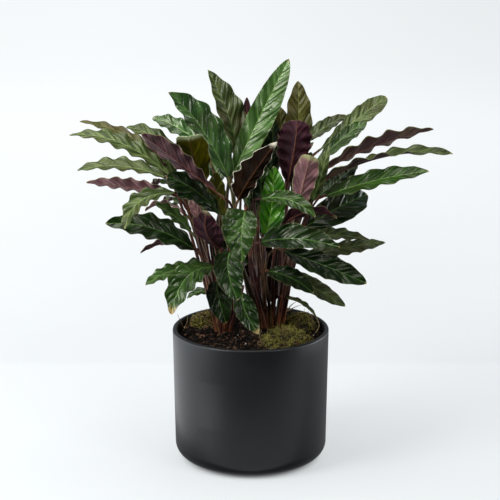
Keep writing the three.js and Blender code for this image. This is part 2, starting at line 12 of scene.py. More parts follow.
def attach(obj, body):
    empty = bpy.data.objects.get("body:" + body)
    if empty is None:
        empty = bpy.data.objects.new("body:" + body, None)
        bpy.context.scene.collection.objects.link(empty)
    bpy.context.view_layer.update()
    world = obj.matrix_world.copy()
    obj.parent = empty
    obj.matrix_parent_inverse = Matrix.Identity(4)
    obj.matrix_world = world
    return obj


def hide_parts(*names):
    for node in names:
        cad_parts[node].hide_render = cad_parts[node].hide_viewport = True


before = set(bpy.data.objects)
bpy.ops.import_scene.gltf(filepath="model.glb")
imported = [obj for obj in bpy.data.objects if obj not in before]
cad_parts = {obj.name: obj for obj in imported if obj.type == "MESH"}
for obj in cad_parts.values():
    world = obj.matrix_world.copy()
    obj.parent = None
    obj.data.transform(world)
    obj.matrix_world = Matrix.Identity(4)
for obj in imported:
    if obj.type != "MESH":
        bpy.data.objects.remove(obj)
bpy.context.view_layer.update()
MM = 0.001

# Camera
CAMERA_PLACE = (0.0, -2.509, 0.961)
CAMERA_AIM = (-0.0009, 0.0, 0.2795)
CAMERA_LENS = 145.7
CAMERA_REACH = 60

# Floor: how its glow grows away from the pot, and where the backdrop's tone begins
FLOOR_SIZE = 9
FLOOR_GLOW = (0.61, 0.94)
FLOOR_FADE = 2.6
BACKDROP = 0.38
WORLD_COLOUR = (0.9, 0.95, 1.0)
WORLD_GLOW = (0.04, 0.32)

# Lamps: place, aim, size, power, colour, and False where gloss doesn't show them
LAMPS = {
    "key_left": ((-1.5, -1.0, 1.4), (0, 0, 0.3), (0.9, 1.1), 40, (0.97, 0.99, 1.0)),
    "front_right": ((1.3, -1.3, 1.5), (0, 0, 0.3), (0.7, 0.7), 14, (0.97, 0.99, 1.0)),
    "panel_left": ((-1.2, 0.0, 0.17), (0, 0, 0.1), (1.9, 0.45), 10, (0.88, 0.95, 1.0)),
    "panel_right": ((1.4, 0.25, 0.17), (0, 0, 0.1), (1.5, 0.45), 14, (0.92, 0.96, 1.0)),
    "top": ((-0.2, 0.1, 2.1), (0, 0, 0.2), (1.3, 1.3), 24, (1.0, 1.0, 1.0)),
    "back": ((0.4, 1.9, 1.6), (0, 0, 0.35), (1.6, 1.0), 10, (1.0, 1.0, 1.0), False),
    "bounce_front": ((0, -0.21, 0.003), (0, -0.21, 1), (1.0, 0.22), 0.55, (1.0, 1.0, 1.0)),
    "bounce_left": ((-0.42, 0.1, 0.003), (-0.42, 0.1, 1), (0.5, 0.8), 1.6, (0.95, 0.98, 1.0)),
}

# Pot
POT_RADIUS = 101.3
POT_HEIGHT = 176
POT_TAPER = 3
POT_WALL = 6
POT_FLOOR = 10
POT_HOLLOW = 0.6
FOOT_RADIUS = 76
FOOT_HEIGHT = 3.5
FOOT_EDGE = 1
FOOT_RINGS = 8
POT_CORNER = 19
LIP = 2.6
POT_SIDES = 192

# Soil
SOIL_EDGE = 164
SOIL_DEPTH = 20
SOIL_CROWN = 8
SOIL_LUMP = 0.9
SOIL_LUMP_SIZES = (11, 9, 17)
SOIL_RINGS = 60
SOIL_SIDES = 160
GAP = 0.4
CRUMB_GAP = 2.5

# Stalks. The swellings at the foot and at the knee are each a height and a length.
STALK_SIDES = 10
STALK_STEPS = 34
KNEE_STEPS = 7
STALK_BURIED = 8
STALK_RADIUS = 2.25
STALK_FOOT_RADIUS = 2.8
STALK_FOOT_SWELL = (0.7, 24)
STALK_GROOVE = 0.13
STALK_RISE = 0.42
STALK_LEAN = 0.38
STALK_REACH = 0.28
STALK_UPRIGHT = 0.8
STALK_SPREAD = 60
STALK_INNER = 0.6
STALK_IN_BLADE = 2
KNEE = 9
KNEE_SWELL = (0.45, 5.5)
HAIRS_PER_STALK = 150

# Blades
BLADE_ROWS = 82
BLADE_COLUMNS = 22
BLADE_THICKNESS = 0.9
EDGE_THICKNESS = 0.45
KEEL = 1
BASE_HALF_WIDTH = 1.4
TIP_HALF_WIDTH = 0.35
BROADENING = 0.6
NARROWING = 0.7
FOLD = 12
RUFFLE = 0.085
RUFFLE_POWER = 1.3
RUFFLE_SPREAD = 0.7
WAVE_SWEEP = 0.35
SCALLOP = 0.05
TURN = 0.618
VEIN_SLOPE = 1.35
VEIN_CURVE = 0.02
QUILT = 0.6
QUILT_LENGTH = 9
FINE_QUILT_LENGTH = 3.33
RIB_GROOVE = 0.5
RIB_WIDTH = 1.2
RIPPLE = 0.12
RIPPLES_PER_WAVE = 2.3

# Blade surfaces: how far the grain of the two sides is apart, the pale margin, and the scorched tip
SIDE_SHIFT = 4.3
MARGIN = (0.2, 0.2, 0.085)
SCORCH = ((0.55, 0.45, 0.17), (0.24, 0.13, 0.05))

# Where the stalks leave the soil. The clumps at the back are each one node with their blades.
CLUMPS = {
    "left": dict(centre=(-33, 1), radii=(12, 10)),
    "right": dict(centre=(22, 10), radii=(21, 14)),
    "back_left": dict(centre=(-22, 32), radii=(7, 7), whole=True),
    "back_mid": dict(centre=(6, 42), radii=(7, 7), whole=True),
    "back_right": dict(centre=(36, 44), radii=(8, 7), whole=True),
}

# Moss: the mounds, and how the strands of a tuft on them grow
MOSS = {
    "moss_left": dict(centre=(-61, 38), radii=(15, 25), height=14, tufts=36),
    "moss_front": dict(centre=(45, -45), radii=(32, 33), height=18, tufts=62),
    "moss_right": dict(centre=(64, 24), radii=(19, 28), height=15, tufts=36),
}
MOSS_GAP = 1.5
STRANDS = 27
STRAND_STEP = 1.2
STRAND_DROOP = 0.16

# Dried tendril and twigs: points along each, and half its thickness
DRIED = [
    ([(81, -18, 200), (87, -14, 188), (88, -14, 180), (85, -18, 176), (79, -26, 172)], 0.9),
    ([(45, 58, 176), (53, 62, 186), (60, 64, 191)], 1.1),
    ([(49, 58, 180), (57, 60, 184), (67, 60, 188)], 0.9),
    ([(-79, 20, 166), (-86, 16, 168), (-91, 10, 180), (-95, 4, 192)], 0.8),
    ([(-87, 12, 171), (-83, 14, 178), (-82, 18, 187)], 0.6),
    ([(15, 20, 177), (22, -20, 178), (19, -50, 177)], 0.6),
    ([(65, 50, 181), (74, 44, 179), (82, 40, 176)], 0.6),
    ([(14, -30, 180), (11, -40, 176), (14, -60, 173)], 0.6),
    ([(25, 40, 177), (37, 44, 183), (49, 40, 180)], 0.9),
]


LEAVES = []


def leaf(name, clump, collar, middle, tip, faces, width, waves=5, tone="green", **more):
    """Add a leaf: the clump that its stalk stands in, three points of its rib from the collar to
    the tip, the way its upper face looks, its width, the waves along an edge, the tone of its
    upper face, and what differs from the common leaf. Its number in the list steers its draws."""
    LEAVES.append(dict(name=name, clump=clump, collar=collar, middle=middle, tip=tip, faces=faces,
                       width=width, waves=waves, tone=tone, **more))


leaf("crown_tall", "right", (-24, -4, 377), (9, 8, 447), (48, 20, 524), (-0.25, -0.93, 0.2), 37, 5,
     "fresh", broad=0.72, narrow=0.65, lean=0.15, phase=0.18, ruffle=3.6, pale=1, stalk=1.5)
leaf("crown_wide", "left", (-28, -14, 377), (-62, -20, 444), (-102, -32, 491), (0.35, -0.87, 0.4),
     41, 5, "glossy", broad=0.66, narrow=0.85, lean=0.25, phase=0.42, ruffle=3, pale=1, stalk=2)
leaf("crown_back_left", "left", (-15, 30, 391), (-30, 38, 452), (-55, 54, 504), (0.15, -0.95, 0.2),
     36, 5, "dull", ruffle=3, narrow=0.9, lean=0.28, phase=0.84)
leaf("crown_olive", "right", (59, 60, 379), (62, 64, 440), (61, 74, 486), (0.05, -0.97, 0.1), 35, 4,
     "olive", ruffle=2.5, narrow=0.8)
leaf("crown_dark", "right", (15, 20, 349), (27, 26, 403), (27, 34, 447), (-0.3, -0.9, 0.1), 30, 4,
     "deep")
leaf("purple_upright", "right", (47, -14, 371), (55, -8, 413), (59, 4, 449), (0.05, 0.95, -0.25),
     45, 6, broad=0.7, narrow=0.4, lean=0.08, scallop=0.07)
leaf("purple_low_upright", "right", (61, -32, 343), (66, -36, 375), (75, -38, 412), (0.1, 0.95, 0),
     31, 4, broad=0.65, narrow=0.3, scorch=1, under="pink")
leaf("right_high", "right", (87, 56, 397), (134, 84, 430), (178, 106, 459), (-0.35, -0.68, 0.62),
     32, 6, "light", lean=0.12, phase=0.2, broad=1.15, narrow=0.55)
leaf("right_second", "right", (83, 8, 392), (119, 30, 421), (149, 48, 438), (-0.4, -0.65, 0.65), 26,
     lean=0.2, broad=0.8, under="dusk")
leaf("right_purple", "right", (95, 4, 386), (160, 20, 414), (234, 34, 431), (-0.2, 0.65, 0.72), 34,
     5.3, phase=0.31, under="dusk")
leaf("right_long", "right", (92, -8, 374), (171, -14, 407), (255, -12, 409), (-0.15, 0.1, 0.97), 36,
     5.5, "dull", phase=0, twist=60, under="dusk")
leaf("right_level", "right", (94, -16, 355), (157, -32, 379), (222, -50, 395), (-0.1, -0.5, 0.86),
     34, phase=0.75)
leaf("right_broad", "right", (66, 6, 306), (111, 26, 328), (153, 76, 335), (0.2, -0.75, 0.6), 42, 4,
     "deep", broad=0.8, lean=0.1)
leaf("right_low_back", "right", (69, 26, 290), (114, 44, 288), (158, 58, 276), (0.1, -0.35, 0.93),
     27, 5, "dull")
leaf("right_low_front", "right", (64, 8, 269), (122, 10, 280), (173, 6, 288), (0, -0.5, 0.87), 27,
     6, "dull", lean=0.2, phase=0.01)
leaf("right_drooping", "right", (41, -29, 287), (94, -48, 272), (146, -62, 253), (0.25, -0.7, 0.65),
     37, 5, "deep", broad=0.8, lean=0.08)
leaf("front_glossy", "right", (13, -42, 301), (59, -66, 312), (111, -84, 306), (0.1, -0.85, 0.52),
     33, 3, "middling", ruffle=4, scallop=0.14, phase=0.3, narrow=0.85, lean=-0.14)
leaf("front_right_low", "right", (22, -26, 259), (51, -48, 256), (79, -62, 240), (0.3, -0.75, 0.6),
     28, 5, "deep")
leaf("low_right", "right", (51, 2, 250), (87, -6, 228), (122, -12, 208), (0.3, -0.7, 0.6), 24, 5,
     "dull")
leaf("low_right_curl", "right", (43, -4, 218), (66, -14, 213), (85, -18, 195), (0.4, -0.2, 0.8), 11,
     4, "dull")
leaf("young_green", "right", (19, -30, 306), (27, -30, 350), (29, -22, 395), (-0.1, -0.95, 0.1), 34,
     4, "vivid", ruffle=2.5, lean=0.1)
leaf("front_green", "right", (12, -40, 357), (48, -66, 362), (80, -82, 344), (0.1, -0.55, 0.8), 26)
leaf("purple_front", "right", (42, -27, 322), (74, -54, 345), (108, -60, 337), (-0.2, 0.7, 0.6), 26,
     4, scorch=1)
leaf("purple_dark", "left", (-15, -38, 356), (4, -40, 390), (33, -10, 423), (0.35, 0.85, 0.25), 31,
     4.5, lean=0.35, broad=0.45, ruffle=4.5, scallop=0.16, phase=0.1, under="maroon", scorch=1)
leaf("inner_dark", "right", (14, -4, 339), (13, -4, 369), (14, 0, 400), (0.2, -0.9, 0), 28, 4,
     "deep")
leaf("inner_green", "right", (-5, -14, 370), (-6, -26, 357), (-3, -32, 343), (0.5, -0.8, 0.2), 13,
     3)
leaf("front_hanging", "left", (-7, -52, 345), (-11, -84, 324), (-11, -100, 291), (0.1, -0.9, 0.4),
     45, broad=0.45, narrow=0.8, lean=0.2)
leaf("front_lower", "left", (-26, -40, 289), (-28, -70, 270), (-16, -90, 239), (0.1, -0.8, 0.55),
     38, 4, "middling", ruffle=2.4)
leaf("front_lowest", "left", (-43, -28, 246), (-40, -48, 227), (-31, -54, 198), (0.15, -0.9, 0.4),
     32, 3.5, "deep", ruffle=1.8)
leaf("front_brown_tip", "left", (-11, -34, 233), (-7, -50, 213), (10, -62, 186), (0.35, -0.85, 0.4),
     30, 4, "middling", scallop=0.08, scorch=1)
leaf("left_low_front", "left", (-47, -30, 265), (-81, -58, 259), (-100, -76, 216),
     (-0.3, -0.8, 0.5), 40, scorch=1)
leaf("left_low_back", "left", (-68, 12, 255), (-104, -4, 252), (-135, -18, 238), (-0.2, -0.6, 0.77),
     22, 5, "fresh")
leaf("purple_curled", "left", (-39, -42, 294), (-55, -66, 322), (-53, -84, 352), (0.3, 0.9, 0.1),
     39, 4, broad=0.55, lean=0.02, scallop=0.12, scorch=1)
leaf("left_broad", "left", (-72, -24, 287), (-124, -44, 320), (-182, -56, 329), (-0.1, -0.72, 0.7),
     36, 5, "middling", phase=0.9)
leaf("left_bright", "left", (-94, -36, 364), (-137, -62, 360), (-156, -82, 329), (-0.3, -0.6, 0.74),
     28, 5, "light", pale=1)
leaf("left_middle", "left", (-77, 14, 300), (-98, 8, 323), (-122, 0, 341), (0.2, -0.55, 0.8), 22, 4,
     "fresh", pale=1)
leaf("left_pink", "left", (-83, 39, 315), (-110, 46, 330), (-138, 54, 318), (0, 0.3, 0.9), 26, 4,
     under="pink")
leaf("left_purple", "left", (-102, -12, 356), (-154, -22, 369), (-207, -30, 376),
     (0.05, 0.72, 0.69), 29, 6, phase=0.08, under="pink")
leaf("left_long", "left", (-108, -3, 376), (-164, -5, 391), (-220, -6, 386), (0, -0.35, 0.92), 27,
     5, "light", lean=0.15, phase=0.17)
leaf("left_upper", "left", (-103, 16, 373), (-166, 28, 414), (-233, 40, 422), (0.2, -0.45, 0.85),
     30, 6, "light", broad=0.8, narrow=0.9, phase=0.52, pale=1)
leaf("left_thin", "left", (-130, 54, 402), (-174, 74, 420), (-224, 94, 429), (0.2, -0.3, 0.93), 20,
     4, "olive")
leaf("left_yellow", "left", (-95, 30, 402), (-130, 42, 423), (-161, 54, 429), (0.2, -0.5, 0.85), 24,
     3, "light", phase=0.44)
leaf("purple_left", "left", (-33, -32, 356), (-84, -46, 402), (-135, -60, 445), (0.25, 0.7, 0.6),
     38, 6, phase=0.04, broad=1.7, narrow=0.8, under="rose")
leaf("olive_folded", "left", (-61, -2, 359), (-69, -30, 402), (-77, -57, 441), (0, 0.8, 0.5), 42, 4,
     "olive", ruffle=2.5, broad=0.7, narrow=0.25, scallop=0.07, under="amber", scorch=1)
leaf("left_dark_high", "left", (-65, 22, 414), (-96, 36, 434), (-127, 50, 442), (0.15, -0.7, 0.68),
     25, 4, "glossy", phase=0.66)
leaf("left_dark", "left", (-36, -14, 328), (-70, -28, 365), (-106, -34, 384), (0.25, -0.75, 0.6),
     39, 4, "deep", broad=1.1, lean=-0.14)
leaf("olive_upright", "left", (-33, 6, 324), (-44, 2, 353), (-44, -2, 383), (0.2, -0.95, 0.1), 27,
     3, "gold")
leaf("pink_strip", "left", (-63, -38, 328), (-69, -43, 343), (-77, -48, 357), (-0.3, 0.9, 0.2), 13,
     3, under="pink")
leaf("low_purple", "left", (-76, 6, 282), (-109, 14, 286), (-143, 18, 271), (0.1, 0.5, 0.87), 20, 4,
     under="rose")
leaf("left_far", "back_left", (-102, 50, 365), (-123, 60, 384), (-145, 70, 406), (0.1, -0.4, 0.9),
     26, 4)
leaf("left_small", "back_left", (-97, 50, 365), (-107, 52, 380), (-119, 54, 392), (0.3, -0.8, 0.5),
     14, 3, "light")
leaf("crown_sliver", "back_mid", (-6, 62, 379), (-5, 66, 423), (-5, 72, 465), (0, 0.95, 0.3), 18, 3,
     "olive")
leaf("crown_narrow", "back_right", (46, 84, 384), (41, 88, 418), (37, 94, 449), (0.1, -0.95, 0.2),
     26, 4, "olive")
leaf("right_grey", "back_right", (73, 96, 402), (98, 112, 418), (127, 130, 430), (-0.3, -0.7, 0.62),
     22, 5, "dull")
leaf("right_dark", "back_right", (88, 50, 339), (114, 66, 356), (140, 84, 374), (-0.3, -0.5, 0.8),
     34, 5, "deep")
leaf("left_low_small", "back_left", (-51, 34, 212), (-68, 40, 212), (-84, 44, 202),
     (-0.2, -0.5, 0.8), 13, 3)
leaf("back_left_wide", "back_left", (-60, 78, 300), (-90, 120, 318), (-118, 160, 300),
     (-0.3, 0.3, 0.9), 40)
leaf("back_left_high", "back_left", (-40, 84, 350), (-58, 130, 372), (-78, 176, 356),
     (-0.1, 0.2, 0.95), 40)
leaf("back_left_side", "back_left", (-90, 64, 340), (-110, 86, 352), (-128, 110, 336),
     (-0.2, 0.1, 0.95), 34)
leaf("back_top", "back_mid", (4, 78, 350), (8, 100, 398), (14, 124, 430), (0, 0.6, 0.8), 38)
leaf("back_centre", "back_mid", (6, 96, 320), (2, 146, 346), (-6, 192, 332), (0, 0.2, 0.95), 42)
leaf("back_low", "back_mid", (22, 92, 258), (34, 136, 276), (42, 176, 256), (0.1, 0.3, 0.95), 38)
leaf("back_hanging", "back_mid", (-10, 76, 236), (-16, 114, 238), (-22, 142, 200), (-0.1, 0.8, 0.6),
     34)
leaf("back_right_wide", "back_right", (68, 82, 312), (98, 116, 332), (128, 150, 316),
     (0.2, 0.3, 0.9), 40)
leaf("back_right_high", "back_right", (48, 84, 358), (62, 128, 386), (76, 170, 374),
     (0.1, 0.2, 0.95), 40)
leaf("back_right_low", "back_right", (58, 72, 254), (84, 106, 270), (108, 136, 248),
     (0.2, 0.3, 0.9), 34)
leaf("back_inner", "back_mid", (7, 66, 281), (10, 70, 334), (15, 70, 393), (0, -0.95, 0.2), 36, 5,
     "deep")
leaf("back_inner_right", "back_right", (62, 68, 313), (70, 74, 352), (79, 78, 391), (0, -0.95, 0.2),
     34)
leaf("green_strip", "right", (78, -20, 349), (89, -20, 384), (98, -12, 419), (-0.4, -0.9, 0.1), 16,
     2, "light")
# The back screens are dark blades set at the back: their near-black faces paint the shade seen
# between the stalks.
leaf("back_screen", "back_mid", (15, 74, 276), (10, 88, 239), (4, 92, 199), (0, 0.9, 0.2), 40, 3,
     under="maroon")
leaf("back_screen_right", "back_right", (39, 94, 257), (34, 108, 220), (26, 112, 176),
     (0.1, 0.9, 0.2), 36, 3, under="maroon")
leaf("back_screen_left", "back_left", (-46, 62, 246), (-40, 64, 281), (-36, 62, 322),
     (0.2, -0.95, 0.1), 24, 3, "deep")


def make_piece(name, points, faces, materials, nodes=(), uv=None, values=None,
               face_kinds=None, sharp=None):
    """A piece from points in millimetres, sharp where faces meet at more than so many degrees."""
    mesh = bpy.data.meshes.new(name)
    mesh.from_pydata((np.asarray(points, float) * MM).tolist(), [], faces)
    for material in materials:
        mesh.materials.append(material)
    if face_kinds is not None:
        mesh.polygons.foreach_set("material_index", np.asarray(face_kinds, np.int32))
    mesh.polygons.foreach_set("use_smooth", [True] * len(mesh.polygons))
    if uv is not None:
        corners = np.zeros(len(mesh.loops), np.int32)
        mesh.loops.foreach_get("vertex_index", corners)
        layer = mesh.uv_layers.new(name="blade")
        layer.uv.foreach_set("vector", np.asarray(uv, np.float32)[corners].ravel())
    for key, numbers in (values or {}).items():
        field = mesh.attributes.new(key, "FLOAT", "POINT")
        field.data.foreach_set("value", np.asarray(numbers, np.float32))
    mesh.validate()
    mesh.update()
    made = bpy.data.objects.new(name, mesh)
    bpy.context.scene.collection.objects.link(made)
    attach(made, "root")
    if nodes:
        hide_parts(*nodes)
    if sharp:
        mesh.set_sharp_from_angle(angle=math.radians(sharp))


def unit(vectors):
    return vectors / np.linalg.norm(vectors, axis=-1, keepdims=True)


def smooth(low, high, x):
    t = np.clip((x - low) / (high - low), 0, 1)
    return t * t * (3 - 2 * t)


# Shader nodes
class Nodes:
    """A node tree, and short ways to add to it. Colours are red, green and blue alone."""

    def __init__(self, tree):
        self.tree = tree

    def fill(self, socket, value):
        if isinstance(value, bpy.types.NodeSocket):
            self.tree.links.new(value, socket)
        else:
            socket.default_value = (*value, 1.0) if socket.type == "RGBA" else value

    def add(self, kind, inputs=None, **settings):
        made = self.tree.nodes.new(f"ShaderNode{kind}")
        for key, value in settings.items():
            setattr(made, key, value)
        for key, value in (inputs or {}).items():
            self.fill(made.inputs[key], value)
        return made

    def calc(self, operation, *numbers):
        return self.add("Math", dict(enumerate(numbers)), operation=operation).outputs[0]

    def scaled(self, value, factor, plus=None):
        if plus is None:
            return self.calc("MULTIPLY", value, factor)
        return self.calc("MULTIPLY_ADD", value, factor, plus)

    def ramp(self, value, low, high, to_low=0.0, to_high=1.0):
        inputs = {"Value": value, "From Min": low, "From Max": high, "To Min": to_low,
                  "To Max": to_high}
        return self.add("MapRange", inputs, interpolation_type="SMOOTHSTEP").outputs["Result"]

    def blend(self, amount, first, second):
        made = self.add("Mix", {0: amount}, data_type="RGBA")
        for socket, value in zip([s for s in made.inputs if s.type == "RGBA"], (first, second)):
            self.fill(socket, value)
        return [socket for socket in made.outputs if socket.type == "RGBA"][0]

    def grain(self, place, scale, detail=2.0, roughness=0.5):
        inputs = {"Vector": place, "Scale": scale, "Detail": detail, "Roughness": roughness}
        return self.add("TexNoise", inputs).outputs["Fac"]

    def field(self, name):
        return self.add("Attribute", attribute_name=name).outputs["Fac"]

    def place(self):
        return self.add("TexCoord").outputs["Object"]

    def parts(self, vector):
        return self.add("SeparateXYZ", {"Vector": vector}).outputs

    def combined(self, x, y, z):
        return self.add("CombineXYZ", {"X": x, "Y": y, "Z": z}).outputs["Vector"]


class Surface(Nodes):
    """A material, with what is the same all over it set on its shader."""

    def __init__(self, name, shine=0.5, rough=0.5, **constants):
        self.material = bpy.data.materials.new(name)
        self.material.use_nodes = True
        super().__init__(self.material.node_tree)
        for key, value in dict(Specular_IOR_Level=shine, Roughness=rough, **constants).items():
            self.shade(key, value)

    def shade(self, key, value):
        self.fill(self.tree.nodes["Principled BSDF"].inputs[key.replace("_", " ")], value)

    def paint(self, colour, height, strength, distance):
        """Give the shader its colour and its raised surface."""
        bump = self.add("Bump", {"Height": height, "Strength": strength, "Distance": distance})
        self.shade("Base_Color", colour)
        self.shade("Normal", bump.outputs["Normal"])
        return self.material


# Leaf materials. The blade's map holds the way along the rib and across it, in centimetres.
def vein_way(surface, stretch):
    """The way along the side veins' rows, the distance from the rib, a shift that differs on its
    two sides, and lanes for a grain that follows the rows."""
    along, across, _ = surface.parts(surface.add("UVMap", uv_map="blade").outputs["UV"])
    away = surface.calc("ABSOLUTE", across)
    sweep = surface.scaled(away, VEIN_CURVE * 10, VEIN_SLOPE)
    row = surface.calc("SUBTRACT", along, surface.scaled(away, sweep))
    shift = surface.scaled(surface.calc("SIGN", across), SIDE_SHIFT)
    lanes = surface.combined(row, surface.scaled(away, stretch, shift), surface.field("draw"))
    return row, away, shift, lanes


def fine_grain(surface, row, away, shift, scale):
    return surface.grain(surface.combined(row, surface.scaled(away, 0.1), shift), scale)


def rib_mask(surface, away, wide, narrow):
    half = surface.scaled(surface.field("along"), narrow - wide, wide)
    return surface.ramp(surface.calc("DIVIDE", away, half), 0.7, 1.25, 1.0, 0.0)


def leaf_upper(name, base, band_and_highlight, rib, drift, rough, shine=0.34):
    surface = Surface(name, shine, Specular_Tint=(1.0, 1.0, 0.82))
    grain, ramp, blend, scaled = surface.grain, surface.ramp, surface.blend, surface.scaled
    row, away, shift, lanes = vein_way(surface, 0.16)
    stray = grain(surface.combined(row, scaled(away, 0.3), shift), 0.4, 0.5)
    ridges = surface.calc("SINE", scaled(stray, 6.0, scaled(row, 4.6, shift)))
    # The bands are partly the leaf's own pattern along its side veins and partly a painted
    # highlight on the ridges between them.
    vein_and_highlight_bands = ramp(scaled(ridges, 0.07, grain(lanes, 1.0, 1.0)), 0.4, 0.7)
    fine = fine_grain(surface, row, away, shift, 9.0)
    mottle = grain(surface.place(), 26.0, 3.0)
    across = surface.field("across")
    colour = blend(scaled(vein_and_highlight_bands, scaled(across, -0.55, 1.0)), base, band_and_highlight)
    colour = blend(ramp(fine, 0.45, 0.75, 0.0, 0.22), colour, band_and_highlight)
    colour = blend(ramp(mottle, 0.45, 0.75, 0.0, 0.7), colour, drift)
    colour = blend(ramp(across, 0.955, 0.99, 0.0, 0.55), colour, MARGIN)
    colour = blend(rib_mask(surface, away, 0.1, 0.038), colour, rib)
    scorch = blend(ramp(fine, 0.4, 0.6), *SCORCH)
    colour = blend(surface.field("scorch"), colour, scorch)
    surface.shade("Roughness", ramp(mottle, 0.3, 0.7, rough - 0.05, rough + 0.05))
    return surface.paint(colour, scaled(fine, 0.04, ramp(ridges, -0.9, 0.8)), 0.5, 0.0013)


def leaf_under(name, base, vein, rib, edge, edge_share, shine=0.25):
    surface = Surface(name, shine, Sheen_Weight=shine / 5, Sheen_Roughness=0.45,
                      Sheen_Tint=(0.85, 0.6, 0.7))
    grain, ramp, blend = surface.grain, surface.ramp, surface.blend
    row, away, shift, lanes = vein_way(surface, 0.12)
    veins = ramp(grain(lanes, 2.0), 0.46, 0.64)
    fine = fine_grain(surface, row, away, shift, 11.0)
    mottle = grain(surface.place(), 30.0, 3.0)
    colour = blend(surface.scaled(veins, 0.9), base, vein)
    colour = blend(ramp(mottle, 0.42, 0.7, 0.0, 0.8), colour, [0.45 * part for part in base])
    colour = blend(rib_mask(surface, away, 0.13, 0.05), colour, rib)
    colour = blend(ramp(surface.field("across"), 0.93, 0.98, 0.0, edge_share), colour, edge)
    colour = blend(surface.field("scorch"), colour, edge)
    surface.shade("Roughness", ramp(mottle, 0.3, 0.7, 0.42, 0.6))
    return surface.paint(colour, surface.scaled(fine, 0.6, veins), 0.5, 0.0008)


# Upper faces: ground, vein bands with painted highlight, rib, mottling, roughness and shine
UPPER_LOOKS = {
    "green": ((0.012, 0.034, 0.005), (0.05, 0.11, 0.018), (0.095, 0.18, 0.038),
              (0.026, 0.034, 0.006), 0.27),
    "glossy": ((0.022, 0.064, 0.014), (0.1, 0.21, 0.055), (0.14, 0.25, 0.06),
               (0.034, 0.062, 0.012), 0.22, 0.6),
    "middling": ((0.005, 0.018, 0.003), (0.025, 0.066, 0.011), (0.075, 0.15, 0.03),
                 (0.012, 0.017, 0.003), 0.25, 0.32),
    # deep: the darker green of older leaves, and painted shade for leaves inside the plant and
    # behind others
    "deep": ((0.003, 0.01, 0.002), (0.012, 0.033, 0.005), (0.045, 0.095, 0.018),
             (0.008, 0.01, 0.002), 0.28, 0.22),
    "fresh": ((0.034, 0.085, 0.015), (0.13, 0.25, 0.065), (0.15, 0.27, 0.065),
              (0.04, 0.07, 0.012), 0.24, 0.45),
    "light": ((0.036, 0.058, 0.012), (0.145, 0.195, 0.055), (0.15, 0.22, 0.065),
              (0.066, 0.062, 0.016), 0.34),
    "dull": ((0.026, 0.04, 0.01), (0.092, 0.122, 0.034), (0.09, 0.14, 0.038),
             (0.044, 0.034, 0.01), 0.32),
    "vivid": ((0.018, 0.11, 0.003), (0.105, 0.31, 0.016), (0.15, 0.32, 0.045),
              (0.03, 0.12, 0.004), 0.24),
    # olive and gold: partly the leaves' own olive tone, partly painted light shining through
    # backlit blades
    "olive": ((0.052, 0.05, 0.008), (0.13, 0.128, 0.03), (0.15, 0.17, 0.035),
              (0.064, 0.038, 0.008), 0.4),
    "gold": ((0.115, 0.115, 0.004), (0.2, 0.2, 0.012), (0.2, 0.2, 0.03),
             (0.08, 0.075, 0.004), 0.45),
}
# Undersides: ground, veins, rib, edge, how much of the edge shows, and shine
UNDER_LOOKS = {
    "plum": ((0.024, 0.0045, 0.009), (0.08, 0.02, 0.03), (0.11, 0.036, 0.02),
             (0.17, 0.14, 0.07), 0.5, 0.12),
    # rose: bright pink veins, partly the underside's own vein colour, partly a painted highlight
    "rose": ((0.036, 0.009, 0.014), (0.2, 0.09, 0.095), (0.15, 0.052, 0.03),
             (0.26, 0.21, 0.11), 0.7),
    "dusk": ((0.058, 0.022, 0.02), (0.17, 0.115, 0.062), (0.13, 0.045, 0.03),
             (0.28, 0.3, 0.14), 0.9, 0.4),
    "pink": ((0.21, 0.09, 0.098), (0.4, 0.23, 0.22), (0.22, 0.1, 0.07),
             (0.34, 0.34, 0.15), 0.7),
    # maroon: a nearly black underside, which on the back screens is painted shade between the
    # stalks
    "maroon": ((0.006, 0.0025, 0.001), (0.018, 0.008, 0.003), (0.05, 0.02, 0.008),
               (0.62, 0.58, 0.46), 1.0, 0.03),
    # amber: painted light shining through a backlit blade
    "amber": ((0.08, 0.074, 0.001), (0.18, 0.168, 0.003), (0.09, 0.035, 0.006),
              (0.42, 0.48, 0.26), 0.9, 0.06),
}
UPPER = {tone: leaf_upper(f"leaf_{tone}", *look) for tone, look in UPPER_LOOKS.items()}
UNDER = {tone: leaf_under(f"leaf_{tone}", *look) for tone, look in UNDER_LOOKS.items()}


# Blades
def half_width(leaf, t, side):
    broad = leaf.get("broad", BROADENING)
    narrow = leaf.get("narrow", NARROWING)
    widest = broad / (broad + narrow)
    peak = widest**broad * (1 - widest) ** narrow
    shape = t**broad * (1 - t) ** narrow / peak
    most = leaf["width"] / 2 * (1 + side * leaf.get("lean", 0))
    return np.maximum(most * shape, BASE_HALF_WIDTH + (TIP_HALF_WIDTH - BASE_HALF_WIDTH) * t)


def rib_points(leaf):
    return (np.array(leaf[key], float) for key in ("collar", "middle", "tip"))


def rib_place(leaf, t):
    collar, middle, tip = rib_points(leaf)
    return collar * (1 - t) * (1 - 2 * t) + middle * 4 * t * (1 - t) + tip * t * (2 * t - 1)


def rib_way(leaf, t):
    collar, middle, tip = rib_points(leaf)
    return unit(collar * (4 * t - 3) + middle * (4 - 8 * t) + tip * (4 * t - 1))


def blade_frame(leaf, t):
    """The directions across the blade and out of its upper face."""
    along = rib_way(leaf, t)
    across = np.cross(np.subtract(leaf["tip"], leaf["collar"]).astype(float), leaf["faces"])
    across = unit(across - along * (along @ across)[:, None])
    out = np.cross(across, along)
    twist = np.radians(leaf.get("twist", 0)) * (t - 0.5)
    turned = across * np.cos(twist) + np.cross(along, across) * np.sin(twist)
    return turned, out * np.cos(twist) + np.cross(along, out) * np.sin(twist)


